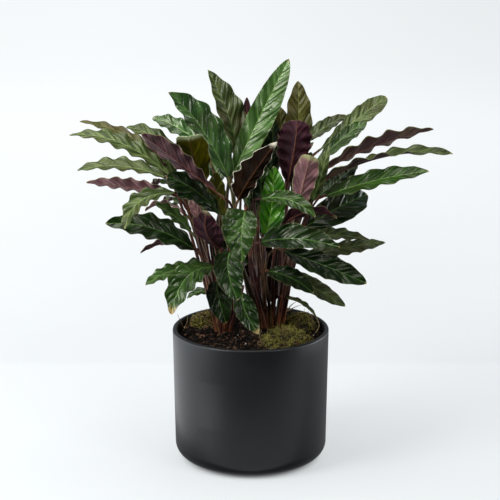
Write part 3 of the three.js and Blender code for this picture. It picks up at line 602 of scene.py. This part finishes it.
def blade_surface(leaf, index, t, u):
    """The upper face, the way out of it, and the way along and across in millimetres."""
    draw = random.Random(index)
    phase = leaf.get("phase", (index * TURN) % 1)
    waves = leaf["waves"]
    across, out = blade_frame(leaf, t)
    side, away = np.sign(u), np.abs(u)
    half = half_width(leaf, t, side)
    collar, middle, tip = rib_points(leaf)
    length = np.linalg.norm(middle - collar) + np.linalg.norm(tip - middle)
    wave = np.sin(2 * math.pi * (waves * t - WAVE_SWEEP * away + phase))
    distance = away * half
    reach = distance * (1 + leaf.get("scallop", SCALLOP) * wave)
    fold = math.radians(FOLD)
    swing = leaf.get("ruffle", RUFFLE * leaf["width"]) * np.sin(math.pi * t) ** RUFFLE_SPREAD
    ripple = np.sin(2 * math.pi * (waves * RIPPLES_PER_WAVE * t + draw.random() + 0.3 * side))
    waving = away**RUFFLE_POWER * wave * side + RIPPLE * ripple * away**3
    lift = reach * math.sin(fold) + swing * waving
    row = 2 * math.pi * (length * t - distance * (VEIN_SLOPE + VEIN_CURVE * distance))
    quilt = np.sin(row / QUILT_LENGTH + side * 1.3 + 6 * draw.random())
    quilt += 0.5 * np.sin(row / FINE_QUILT_LENGTH + 6 * draw.random())
    inside = smooth(0, 0.35, away) * (1 - smooth(0.75, 1, away)) * np.sin(math.pi * t)
    lift += QUILT * quilt * inside
    lift -= RIB_GROOVE * np.exp(-((distance / RIB_WIDTH) ** 2)) * (1 - 0.6 * t)
    points = rib_place(leaf, t)[:, None, :] + out[:, None, :] * lift[..., None]
    points = points + across[:, None, :] * (side * reach * math.cos(fold))[..., None]
    return points, out, length * t + 0 * u, side * distance


def sheet_faces(rows, columns):
    """Quads of an upper and a lower grid of points, and of the rim between them."""
    count = (rows + 1) * (columns + 1)
    grid = np.arange(count).reshape(rows + 1, columns + 1)
    a, b, c, d = grid[:-1, :-1], grid[:-1, 1:], grid[1:, 1:], grid[1:, :-1]
    upper = np.stack([a, b, c, d], -1).reshape(-1, 4)
    lower = upper[:, ::-1] + count
    edge = np.concatenate([grid[0, :], grid[1:, -1], grid[-1, -2::-1], grid[-2:0:-1, 0]])
    following = np.roll(edge, -1)
    rim = np.stack([edge, edge + count, following + count, following], -1)
    kinds = [0] * len(upper) + [1] * (len(lower) + len(rim))
    return np.concatenate([upper, lower, rim]).tolist(), kinds


def blade(leaf, index, node):
    t = np.linspace(0, 1, BLADE_ROWS + 1)[:, None]
    u = np.linspace(-1, 1, BLADE_COLUMNS + 1)[None, :]
    upper, out, along, across = blade_surface(leaf, index, t, u)
    thick = BLADE_THICKNESS + (EDGE_THICKNESS - BLADE_THICKNESS) * np.abs(u) ** 3 + 0 * t
    thick = thick + (KEEL + RIB_GROOVE) * np.exp(-((across / RIB_WIDTH) ** 2)) * (1 - 0.85 * t)
    lower = upper - out[:, None, :] * thick[..., None]
    points = np.concatenate([upper.reshape(-1, 3), lower.reshape(-1, 3)])
    faces, kinds = sheet_faces(BLADE_ROWS, BLADE_COLUMNS)
    uv = np.stack([along, across], -1).reshape(-1, 2) / 10
    share = (t + 0 * u).ravel()
    scorch = leaf.get("scorch", 0) * smooth(0.9, 0.97, share + 0.02 * np.sin(9 * across.ravel()))
    scorch = np.maximum(scorch, 0.8 * smooth(0.975, 1, share))
    values = {
        "along": np.tile(share, 2),
        "across": np.tile(np.abs(u + 0 * t).ravel(), 2),
        "draw": np.full(2 * share.size, index * 1.7),
        "scorch": np.tile(scorch, 2),
    }
    materials = [UPPER[leaf["tone"]], UNDER[leaf.get("under", "plum")]]
    make_piece(f"blade_{leaf['name']}", points, faces, materials, [node], np.tile(uv, (2, 1)),
               values, kinds, sharp=50)


# Stalks
def soil_height(x, y):
    wide, deep, slanting = SOIL_LUMP_SIZES
    rise = 1 - (x * x + y * y) / POT_RADIUS**2
    lumps = np.sin(x / wide + 1) * np.sin(y / deep) + np.sin((x - y) / slanting)
    return SOIL_EDGE + SOIL_CROWN * rise + SOIL_LUMP * lumps


def stalk_path(leaf, index):
    """Points up out of the soil, over to the leaf, and along a straight knee below its rib."""
    clump = CLUMPS[leaf["clump"]]
    x, y = clump["centre"]
    collar = np.array(leaf["collar"], float)
    away = collar[:2] - (x, y)
    draw = STALK_INNER + (1 - STALK_INNER) * ((index * TURN) % 1)
    spread = min(1, np.linalg.norm(away) / STALK_SPREAD) * draw * unit(away)
    wide, deep = (radius - STALK_FOOT_RADIUS for radius in clump["radii"])
    root = np.array([x + spread[0] * wide, y + spread[1] * deep, soil_height(x, y) - STALK_BURIED])
    rib = rib_way(leaf, np.zeros((1, 1)))[0]
    knee = collar - rib * KNEE
    length = np.linalg.norm(knee - root)
    lift = root + (knee - root) * (STALK_LEAN, STALK_LEAN, 0) + (0, 0, STALK_RISE * length)
    reach = knee - unit(rib + (0, 0, STALK_UPRIGHT)) * STALK_REACH * length
    t = np.linspace(0, 1, STALK_STEPS + 1)[:, None]
    bend = root * (1 - t) ** 3 + 3 * lift * t * (1 - t) ** 2
    bend += 3 * reach * t * t * (1 - t) + knee * t**3
    end = collar + rib * STALK_IN_BLADE
    return np.concatenate([bend, knee + (end - knee) * np.linspace(0, 1, KNEE_STEPS + 1)[1:, None]])


def swelling(height, length, distance):
    return height * np.exp(-((distance / length) ** 2))


def stalk_rings(path, thickness):
    """Rings of points round the path, with their ways out and the share of the length so far."""
    along = unit(np.gradient(path, axis=0))
    steps = np.linalg.norm(np.diff(path, axis=0), axis=1)
    so_far = np.concatenate([[0], np.cumsum(steps)])
    share, left = so_far / so_far[-1], so_far[-1] - so_far
    radius = STALK_RADIUS - 0.5 * smooth(0, 0.75, share) - 0.4 * smooth(0.6, 0.95, share)
    radius += swelling(*STALK_FOOT_SWELL, so_far) + swelling(*KNEE_SWELL, left - KNEE)
    radius *= thickness
    angles = np.linspace(0, 2 * math.pi, STALK_SIDES, endpoint=False)
    groove = 1 + STALK_GROOVE * np.cos(2 * angles)[None, :] * (1 - share)[:, None]
    side = np.array([1.0, 0, 0])
    rings, outs = [], []
    for way, size, shape, place in zip(along, radius, groove, path):
        side = unit(side - way * (side @ way))
        other = np.cross(way, side)
        out = np.cos(angles)[:, None] * side + np.sin(angles)[:, None] * other
        outs.append(out)
        rings.append(place + out * (size * shape)[:, None])
    return np.array(rings), np.array(outs), along, share


def ring_faces(rings, sides, start=0, inward=False):
    """Quads between rings of points that follow one another."""
    faces = []
    for first in range(start, start + (rings - 1) * sides, sides):
        for k in range(sides):
            a, b = first + k, first + (k + 1) % sides
            quad = (a, a + sides, b + sides, b) if inward else (a, b, b + sides, a + sides)
            faces.append(quad)
    return faces


def tube_faces(rings, sides):
    last = (rings - 1) * sides
    ends = [tuple(reversed(range(sides))), tuple(range(last, last + sides))]
    return ring_faces(rings, sides) + ends


class Heap:
    """Many small bodies that become one piece."""

    def __init__(self):
        self.points, self.faces, self.kinds = [], [], []

    def add(self, points, faces, kind=0):
        start = len(self.points)
        self.points.extend(points)
        self.faces += [tuple(start + k for k in face) for face in faces]
        self.kinds += [kind] * len(faces)


def add_hairs(heap, rings, outs, along, draw):
    """Short tapered hairs that stand out of the stalk, as three-sided spikes."""
    for _ in range(HAIRS_PER_STALK):
        ring = draw.randrange(3, len(rings) - 1)
        k = draw.randrange(STALK_SIDES)
        out, way = outs[ring][k], along[ring]
        place = rings[ring][k] + way * draw.uniform(-1.5, 1.5)
        turn = np.cross(way, out)
        aim = unit(out + way * draw.uniform(0.1, 0.7) + turn * draw.uniform(-0.4, 0.4))
        size = draw.uniform(0.05, 0.08)
        points = [place - out * 0.1 + (way * math.cos(angle) + turn * math.sin(angle)) * size
                  for angle in (0, 2.1, 4.2)]
        points.append(place + aim * draw.uniform(0.8, 1.7))
        heap.add(points, [(0, 1, 3), (1, 2, 3), (2, 0, 3), (0, 2, 1)])


def stalk_material(name, low, middle, high):
    surface = Surface(name, 0.32, 0.38, Specular_Tint=(1.0, 0.82, 0.72))
    ramp, blend, place = surface.ramp, surface.blend, surface.place()
    share, draw = surface.field("along"), surface.field("draw")
    lengthwise = surface.add("Mapping", {"Vector": place, "Scale": (420, 420, 22)})
    streaks = surface.grain(lengthwise.outputs["Vector"], 1.0, 3.0)
    # The lighter foot and the darker stalk above are partly the stalks' own colours, partly painted
    # light: the foot lightened where lit, the rest darkened for the shade of the leaves above.
    colour = blend(ramp(share, 0.05, 0.35), low, middle)
    colour = blend(ramp(share, 0.55, 0.95), colour, high)
    colour = blend(ramp(draw, 0.55, 0.95, 0.0, 0.85), colour, (0.165, 0.105, 0.045))
    colour = blend(ramp(draw, 0.45, 0.05, 0.0, 0.9), colour, (0.028, 0.007, 0.012))
    colour = blend(ramp(streaks, 0.4, 0.6, 0.0, 0.9), colour, [0.25 * part for part in middle])
    colour = blend(ramp(surface.grain(place, 45.0), 0.5, 0.75, 0.0, 0.6), colour, low)
    return surface.paint(colour, streaks, 0.4, 0.0004)


STALKS = [
    stalk_material("stalk_red", (0.21, 0.075, 0.028), (0.082, 0.022, 0.014), (0.085, 0.02, 0.018)),
    stalk_material("stalk_pale", (0.18, 0.11, 0.045), (0.2, 0.19, 0.07), (0.24, 0.23, 0.095)),
]
HAIRS = [Surface("stalk_hair", rough=0.6, Base_Color=(0.3, 0.17, 0.12)).material]


def stalks(clump, members, node):
    tubes, hairs, share, draws = Heap(), Heap(), [], []
    for index, leaf in members:
        rings, outs, along, part = stalk_rings(stalk_path(leaf, index), leaf.get("stalk", 1))
        tubes.add(rings.reshape(-1, 3), tube_faces(len(rings), STALK_SIDES), leaf.get("pale", 0))
        share.extend(np.repeat(part, STALK_SIDES))
        draws += [(index * 0.382 + 0.15) % 1] * len(part) * STALK_SIDES
        add_hairs(hairs, rings, outs, along, random.Random(500 + index))
    make_piece(f"{clump}_stalks", tubes.points, tubes.faces, STALKS, [node],
               values={"along": share, "draw": draws}, face_kinds=tubes.kinds, sharp=60)
    make_piece(f"{clump}_stalk_hairs", hairs.points, hairs.faces, HAIRS)


def plant():
    for clump, facts in CLUMPS.items():
        whole = facts.get("whole")
        node = f"shoot_{clump}" if whole else f"stalks_{clump}"
        members = [(index, leaf) for index, leaf in enumerate(LEAVES) if leaf["clump"] == clump]
        for index, leaf in members:
            blade(leaf, index, node if whole else f"leaf_{leaf['name']}")
        stalks(clump, members, node)


# Pot
def pot_radius(z):
    return POT_RADIUS - POT_TAPER * (1 - z / POT_HEIGHT)


def arc(x, z, radius, start, end, steps):
    angles = np.radians(np.linspace(start, end, steps + 1))
    return [(x + radius * math.cos(a), z + radius * math.sin(a)) for a in angles]


def pot_profile():
    """Radii and heights of the pot's rings, from the hollow of its foot to its floor."""
    low = FOOT_HEIGHT + POT_CORNER
    outer = pot_radius(low)
    rim = POT_HEIGHT - LIP
    lip = pot_radius(rim) - LIP
    corner = POT_CORNER - POT_WALL
    inner_low = POT_FLOOR + corner
    inner = pot_radius(inner_low) - POT_WALL
    return [(FOOT_RADIUS - 7, POT_HOLLOW), (FOOT_RADIUS - 6, 0),
            *arc(FOOT_RADIUS - FOOT_EDGE, FOOT_EDGE, FOOT_EDGE, -90, 0, 4),
            (FOOT_RADIUS - 0.3, FOOT_HEIGHT - 0.3),
            *arc(outer - POT_CORNER, low, POT_CORNER, -88, 0, 14),
            *[(pot_radius(z), z) for z in np.linspace(low, rim, 9)[1:-1]],
            *arc(lip, rim, LIP, 0, 90, 8),
            *arc(lip - POT_WALL + 2 * LIP, rim, LIP, 90, 180, 8),
            (pot_radius(130) - POT_WALL, 130),
            *arc(inner - corner, inner_low, corner, 0, -90, 8)]


def pot():
    rings = pot_profile()
    angles = np.linspace(0, 2 * math.pi, POT_SIDES, endpoint=False)
    points = [(r * math.cos(a), r * math.sin(a), z) for r, z in rings for a in angles]
    faces = ring_faces(len(rings), POT_SIDES)
    last = (len(rings) - 1) * POT_SIDES
    points += [(0, 0, POT_HOLLOW), (0, 0, POT_FLOOR)]
    for k in range(POT_SIDES):
        following = (k + 1) % POT_SIDES
        faces.append((len(points) - 2, following, k))
        faces.append((len(points) - 1, last + k, last + following))
    kinds = [int(k < FOOT_RINGS * POT_SIDES) for k in range(len(faces))]
    make_piece("pot_wall", points, faces, [ceramic_material(), foot_material()], ["pot"],
               face_kinds=kinds, sharp=40)


# The foot is darker than the wall: painted shade in the recess under the pot.
def foot_material():
    surface = Surface("pot_foot", 0.2, 0.8)
    speck = surface.grain(surface.place(), 300.0)
    colour = surface.blend(speck, (0.0025, 0.0025, 0.003), (0.006, 0.006, 0.007))
    surface.shade("Base_Color", colour)
    return surface.material


def ceramic_material():
    surface = Surface("pot_ceramic", 0.35)
    ramp, blend, place = surface.ramp, surface.blend, surface.place()
    cloud = surface.grain(place, 11.0, 3.0)
    speck = surface.grain(place, 900.0)
    colour = blend(ramp(cloud, 0.35, 0.65), (0.0065, 0.007, 0.008), (0.009, 0.0095, 0.011))
    colour = blend(ramp(speck, 0.66, 0.74, 0.0, 0.5), colour, (0.04, 0.042, 0.045))
    surface.shade("Roughness", surface.scaled(cloud, 0.1, 0.34))
    return surface.paint(colour, surface.grain(place, 420.0, 3.0), 0.12, 0.0002)


# Soil
def soil_material():
    surface = Surface("soil_dark", 0.15, 0.8)
    ramp, blend, place = surface.ramp, surface.blend, surface.place()
    clods = surface.grain(place, 120.0, 4.0, 0.65)
    grit = surface.grain(place, 700.0, 3.0, 0.6)
    colour = blend(ramp(clods, 0.4, 0.66), (0.0015, 0.001, 0.0007), (0.01, 0.005, 0.003))
    colour = blend(ramp(surface.field("draw"), 0.7, 1.0), colour, (0.15, 0.08, 0.044))
    colour = blend(ramp(grit, 0.58, 0.72, 0.0, 0.6), colour, (0.1, 0.056, 0.034))
    return surface.paint(colour, surface.calc("ADD", clods, grit), 0.8, 0.0008)


def rough_soil_height(x, y):
    lumps = noise.fractal(Vector((x / 9, y / 9, 0)), 0.7, 2.1, 4)
    clods = abs(noise.noise(Vector((x / 3.4, y / 3.4, 3))))
    return float(soil_height(x, y)) + 2.6 * lumps + 3.6 * clods - 1.2


def soil_reach(gap):
    """How far from the axis something may lie, with this gap to the pot's wall."""
    return pot_radius(SOIL_EDGE) - POT_WALL - gap


def soil_bed(material):
    reach = soil_reach(GAP)
    points = [(0, 0, rough_soil_height(0, 0))]
    for ring in range(1, SOIL_RINGS + 1):
        for k in range(SOIL_SIDES):
            angle = 2 * math.pi * (k + 0.5 * (ring % 2)) / SOIL_SIDES
            x, y = (reach * ring / SOIL_RINGS * part for part in (math.cos(angle), math.sin(angle)))
            points.append((x, y, rough_soil_height(x, y)))
    points += [(x, y, SOIL_EDGE - SOIL_DEPTH) for x, y, _ in points[-SOIL_SIDES:]]
    faces = [(0, 1 + k, 1 + (k + 1) % SOIL_SIDES) for k in range(SOIL_SIDES)]
    faces += ring_faces(SOIL_RINGS + 1, SOIL_SIDES, 1, inward=True)
    faces.append(tuple(reversed(range(len(points) - SOIL_SIDES, len(points)))))
    make_piece("soil_bed", points, faces, [material], ["soil"], sharp=40)


def ball(subdivisions):
    """Points and faces of an even ball of radius 1."""
    golden = (1 + 5**0.5) / 2
    points = [unit(np.roll((short, long, 0), turns)) for turns in range(3)
              for long in (golden, -golden) for short in (-1, 1)]
    faces = [(0, 11, 5), (0, 5, 1), (0, 1, 7), (0, 7, 10), (0, 10, 11), (1, 5, 9), (5, 11, 4),
             (11, 10, 2), (10, 7, 6), (7, 1, 8), (3, 9, 4), (3, 4, 2), (3, 2, 6), (3, 6, 8),
             (3, 8, 9), (4, 9, 5), (2, 4, 11), (6, 2, 10), (8, 6, 7), (9, 8, 1)]
    for _ in range(subdivisions):
        middles, finer = {}, []

        def middle(a, b):
            key = (min(a, b), max(a, b))
            if key not in middles:
                middles[key] = len(points)
                points.append(unit(points[a] + points[b]))
            return middles[key]

        for a, b, c in faces:
            ab, bc, ca = middle(a, b), middle(b, c), middle(c, a)
            finer += [(a, ab, ca), (b, bc, ab), (c, ca, bc), (ab, bc, ca)]
        faces = finer
    return np.array(points), faces


def turned(points, first, second, angle):
    """The points, turned from the first axis towards the second."""
    matrix = np.eye(3)
    matrix[first, first] = matrix[second, second] = math.cos(angle)
    matrix[first, second], matrix[second, first] = math.sin(angle), -math.sin(angle)
    return points @ matrix


def scatter(name, count, sizes, finesse, material, seed, sink, stretch=1.0):
    """Small irregular lumps that lie on the soil, all in one piece."""
    draw = random.Random(seed)
    shape, shape_faces = ball(finesse)
    heap, draws = Heap(), []
    reach = soil_reach(CRUMB_GAP)
    for _ in range(count):
        away, angle = reach * math.sqrt(draw.random()), draw.uniform(0, 2 * math.pi)
        x, y = away * math.cos(angle), away * math.sin(angle)
        size = draw.uniform(*sizes) * draw.uniform(0.6, 1)
        dents = np.array([draw.uniform(0.65, 1.2) for _ in shape])
        scale = (stretch * draw.uniform(0.8, 1.3), draw.uniform(0.7, 1.1), draw.uniform(0.5, 0.9))
        turn, lean = draw.uniform(0, 2 * math.pi), draw.uniform(-0.5, 0.5)
        body = turned(shape * dents[:, None] * np.array(scale) * size, 2, 0, lean)
        height = rough_soil_height(x, y) + size * (0.5 - sink)
        heap.add(turned(body, 0, 1, turn) + (x, y, height), shape_faces)
        draws += [draw.random()] * len(shape)
    make_piece(name, heap.points, heap.faces, [material], values={"draw": draws}, sharp=35)


def speckled_material(name, first, second, rough, scale, low, strength, distance):
    surface = Surface(name, 0.3, rough)
    speck = surface.grain(surface.place(), scale, 3.0)
    colour = surface.blend(surface.ramp(speck, low, 0.7), first, second)
    return surface.paint(colour, speck, strength, distance)


def bark_material(name, first, second):
    return speckled_material(name, first, second, 0.8, 260.0, 0.35, 0.5, 0.0006)


def soil():
    dark = soil_material()
    perlite = speckled_material("perlite", (0.62, 0.58, 0.5), (0.3, 0.24, 0.18), 0.75, 800.0, 0.4,
                                0.6, 0.0005)
    bark = bark_material("bark_bits", (0.035, 0.018, 0.01), (0.17, 0.095, 0.055))
    soil_bed(dark)
    scatter("soil_crumbs", 3400, (0.8, 2.6), 0, dark, 11, 0.2)
    scatter("soil_clods", 560, (2.4, 5.6), 1, dark, 12, 0.45)
    scatter("perlite", 34, (0.6, 1.9), 1, perlite, 13, 0.1)
    scatter("bark_bits", 260, (0.9, 2.2), 0, bark, 14, 0.1, stretch=2.6)


# Moss
def moss_material(name, first, second, third):
    surface = Surface(name, 0.3, 0.8)
    ramp, blend, place = surface.ramp, surface.blend, surface.place()
    specks = surface.grain(place, 420.0)
    colour = blend(ramp(surface.grain(place, 60.0, 3.0), 0.4, 0.6), first, second)
    colour = blend(ramp(specks, 0.48, 0.66, 0.0, 0.6), colour, third)
    # Strands grow lighter towards their tips: a painted highlight on the outer strands.
    colour = blend(ramp(surface.field("tip"), 0.2, 0.9, 0.0, 0.9), colour, third)
    return surface.paint(colour, specks, 0.5, 0.0004)


MOSS_TONES = [
    moss_material("moss_green", (0.11, 0.1, 0.012), (0.03, 0.024, 0.005), (0.56, 0.5, 0.11)),
    moss_material("moss_brown", (0.11, 0.066, 0.018), (0.03, 0.017, 0.007), (0.4, 0.3, 0.11)),
]
# The core's near-black colour is painted shade deep between the strands.
MOSS_DARK = moss_material("moss_dark", (0.018, 0.014, 0.004), (0.008, 0.005, 0.002),
                          (0.04, 0.032, 0.009))


def strand(path, radius, sides):
    """A thin tapered tube along the path."""
    along = unit(np.gradient(path, axis=0))
    side = unit(np.cross(along[0], (0.3, 0.5, 0.8)))
    points = []
    for step, (way, place) in enumerate(zip(along, path)):
        side = unit(side - way * (side @ way))
        other = np.cross(way, side)
        size = radius * (1 - 0.75 * step / (len(path) - 1))
        for k in range(sides):
            angle = 2 * math.pi * k / sides
            points.append(place + (side * math.cos(angle) + other * math.sin(angle)) * size)
    return points, tube_faces(len(path), sides)


def stray(draw, spread):
    return np.array([draw.gauss(0, spread) for _ in range(3)])


def strand_path(heart, out, draw, reach):
    """A curl from the heart of a tuft that stays above the soil and inside the pot."""
    way = unit(out * draw.uniform(0.3, 1.3) + stray(draw, 0.8))
    place = heart + stray(draw, 1.1)
    path = [place]
    for _ in range(draw.randrange(4, 10)):
        way = unit(way + stray(draw, 0.35) - (0, 0, STRAND_DROOP))
        place = place + way * STRAND_STEP
        far = np.linalg.norm(place[:2])
        if far > reach:
            place = place * (reach / far, reach / far, 1)
        place[2] = max(place[2], float(soil_height(place[0], place[1])) + 0.6)
        path.append(place)
    return np.array(path)


def moss(name, facts, seed):
    """Tufts of curled strands that spread over a mound, painted dark as the shade between them."""
    draw = random.Random(seed)
    centre = np.array([*facts["centre"], float(soil_height(*facts["centre"]))])
    radii = np.array([*facts["radii"], facts["height"]], float)
    reach, tufts = soil_reach(MOSS_GAP), facts["tufts"]
    heap, tips = Heap(), []
    for tuft in range(tufts):
        angle, rise = 2 * math.pi * TURN * tuft, (tuft + 0.5) / tufts
        flat = math.sqrt(1 - rise * rise)
        aim = np.array([flat * math.cos(angle), flat * math.sin(angle), rise])
        heart = centre + aim * radii * draw.uniform(0.78, 1.0)
        out = unit(aim / radii)
        kind, tone = int(draw.random() < 0.3), draw.uniform(0.45, 1)
        for _ in range(STRANDS):
            path = strand_path(heart, out, draw, reach)
            heap.add(*strand(path, draw.uniform(0.3, 0.55), 3), kind)
            tips += [tone * step / len(path) for step in range(len(path)) for _ in range(3)]
    make_piece(f"{name}_strands", heap.points, heap.faces, MOSS_TONES, [name],
               values={"tip": tips}, face_kinds=heap.kinds)
    shape, faces = ball(4)
    bumps = [0.82 + 0.26 * noise.fractal(Vector(aim * 4 + centre), 0.8, 2.0, 4) for aim in shape]
    core = centre + shape * radii * np.array(bumps)[:, None]
    make_piece(f"{name}_core", core, faces, [MOSS_DARK])


# Dried bits, each a path of given points
def curved(points, steps):
    """A smooth path through the points."""
    points = [np.array(point, float) for point in points]
    ends = [2 * points[0] - points[1], *points, 2 * points[-1] - points[-2]]
    path = []
    for before, start, end, after in zip(ends, ends[1:], ends[2:], ends[3:]):
        square = 2 * before - 5 * start + 4 * end - after
        cube = 3 * start - before - 3 * end + after
        for t in np.linspace(0, 1, steps, endpoint=False):
            path.append(start + 0.5 * ((end - before) * t + square * t**2 + cube * t**3))
    return np.array(path + [points[-1]])


def dried():
    material = bark_material("dried_bits", (0.3, 0.22, 0.11), (0.13, 0.085, 0.04))
    heap = Heap()
    for path, radius in DRIED:
        heap.add(*strand(curved(path, 6), radius, 6))
    make_piece("dried_bits", heap.points, heap.faces, [material])


# Stage
def stand(name, data, place, aim):
    """Something of the stage, turned from its place to where it aims."""
    made = bpy.data.objects.new(name, data)
    bpy.context.scene.collection.objects.link(made)
    made.location = place
    made.rotation_euler = (Vector(aim) - Vector(place)).to_track_quat("-Z", "Y").to_euler()
    return made


def add_camera():
    data = bpy.data.cameras.new("camera")
    data.lens = CAMERA_LENS
    data.clip_end = CAMERA_REACH
    bpy.context.scene.camera = stand("camera", data, CAMERA_PLACE, CAMERA_AIM)


def add_lamp(name, place, aim, size, power, colour, glossy=True):
    data = bpy.data.lights.new(name, "AREA")
    data.shape = "RECTANGLE"
    data.size, data.size_y = size
    data.energy = power
    data.color = colour
    lamp = stand(name, data, place, aim)
    lamp.visible_camera = False
    lamp.visible_glossy = glossy


def floor_material():
    """Pale and even: its own faint glow makes up for the lamps' light, which falls off sideways.
    The glow is lowered towards the right as painted shade, and round the pot as a painted shadow.
    """
    surface = Surface("floor_white", 0.0, 0.8, Emission_Color=(0.955, 0.985, 1.0))
    ramp, place = surface.ramp, surface.place()
    x, y, _ = surface.parts(place)
    distance = surface.add("VectorMath", {0: place}, operation="LENGTH").outputs["Value"]
    cloud = ramp(surface.grain(place, 3.0), 0.3, 0.7)
    surface.shade("Base_Color", surface.blend(cloud, (0.25, 0.26, 0.265), (0.26, 0.27, 0.275)))
    glow = ramp(distance, 0.0, FLOOR_FADE, *FLOOR_GLOW)
    # painted shade: the glow is lowered towards the right
    glow = surface.calc("SUBTRACT", glow, ramp(x, -0.5, 0.9, 0.0, 0.1))
    # painted contact shadow: the glow drops close round the pot's foot
    glow = surface.scaled(glow, ramp(distance, 0.074, 0.095, 0.1, 1.0))
    glow = surface.calc("SUBTRACT", glow, ramp(y, BACKDROP - 0.015, BACKDROP + 0.015, 0.0, 0.03))
    surface.shade("Emission_Strength", glow)
    return surface.material


def stage():
    world = bpy.data.worlds.new("studio")
    world.use_nodes = True
    sky = Nodes(world.node_tree)
    background = sky.tree.nodes["Background"].inputs
    way = sky.add("TexCoord").outputs["Generated"]
    sky.fill(background["Color"], WORLD_COLOUR)
    sky.fill(background["Strength"], sky.ramp(sky.parts(way)["Y"], -0.5, 0.95, *WORLD_GLOW))
    bpy.context.scene.world = world
    bpy.context.scene.view_settings.view_transform = "Standard"

    mesh = bpy.data.meshes.new("floor")
    corners = [(x * FLOOR_SIZE, y * FLOOR_SIZE, 0) for x, y in ((-1, -1), (1, -1), (1, 1), (-1, 1))]
    mesh.from_pydata(corners, [], [(0, 1, 2, 3)])
    mesh.materials.append(floor_material())
    floor = bpy.data.objects.new("floor", mesh)
    bpy.context.scene.collection.objects.link(floor)
    floor.visible_glossy = False
    floor.visible_diffuse = False

    for name, facts in LAMPS.items():
        add_lamp(name, *facts)


add_camera()
stage()
pot()
soil()
for number, (name, facts) in enumerate(MOSS.items()):
    moss(name, facts, 40 + number)
dried()
plant()
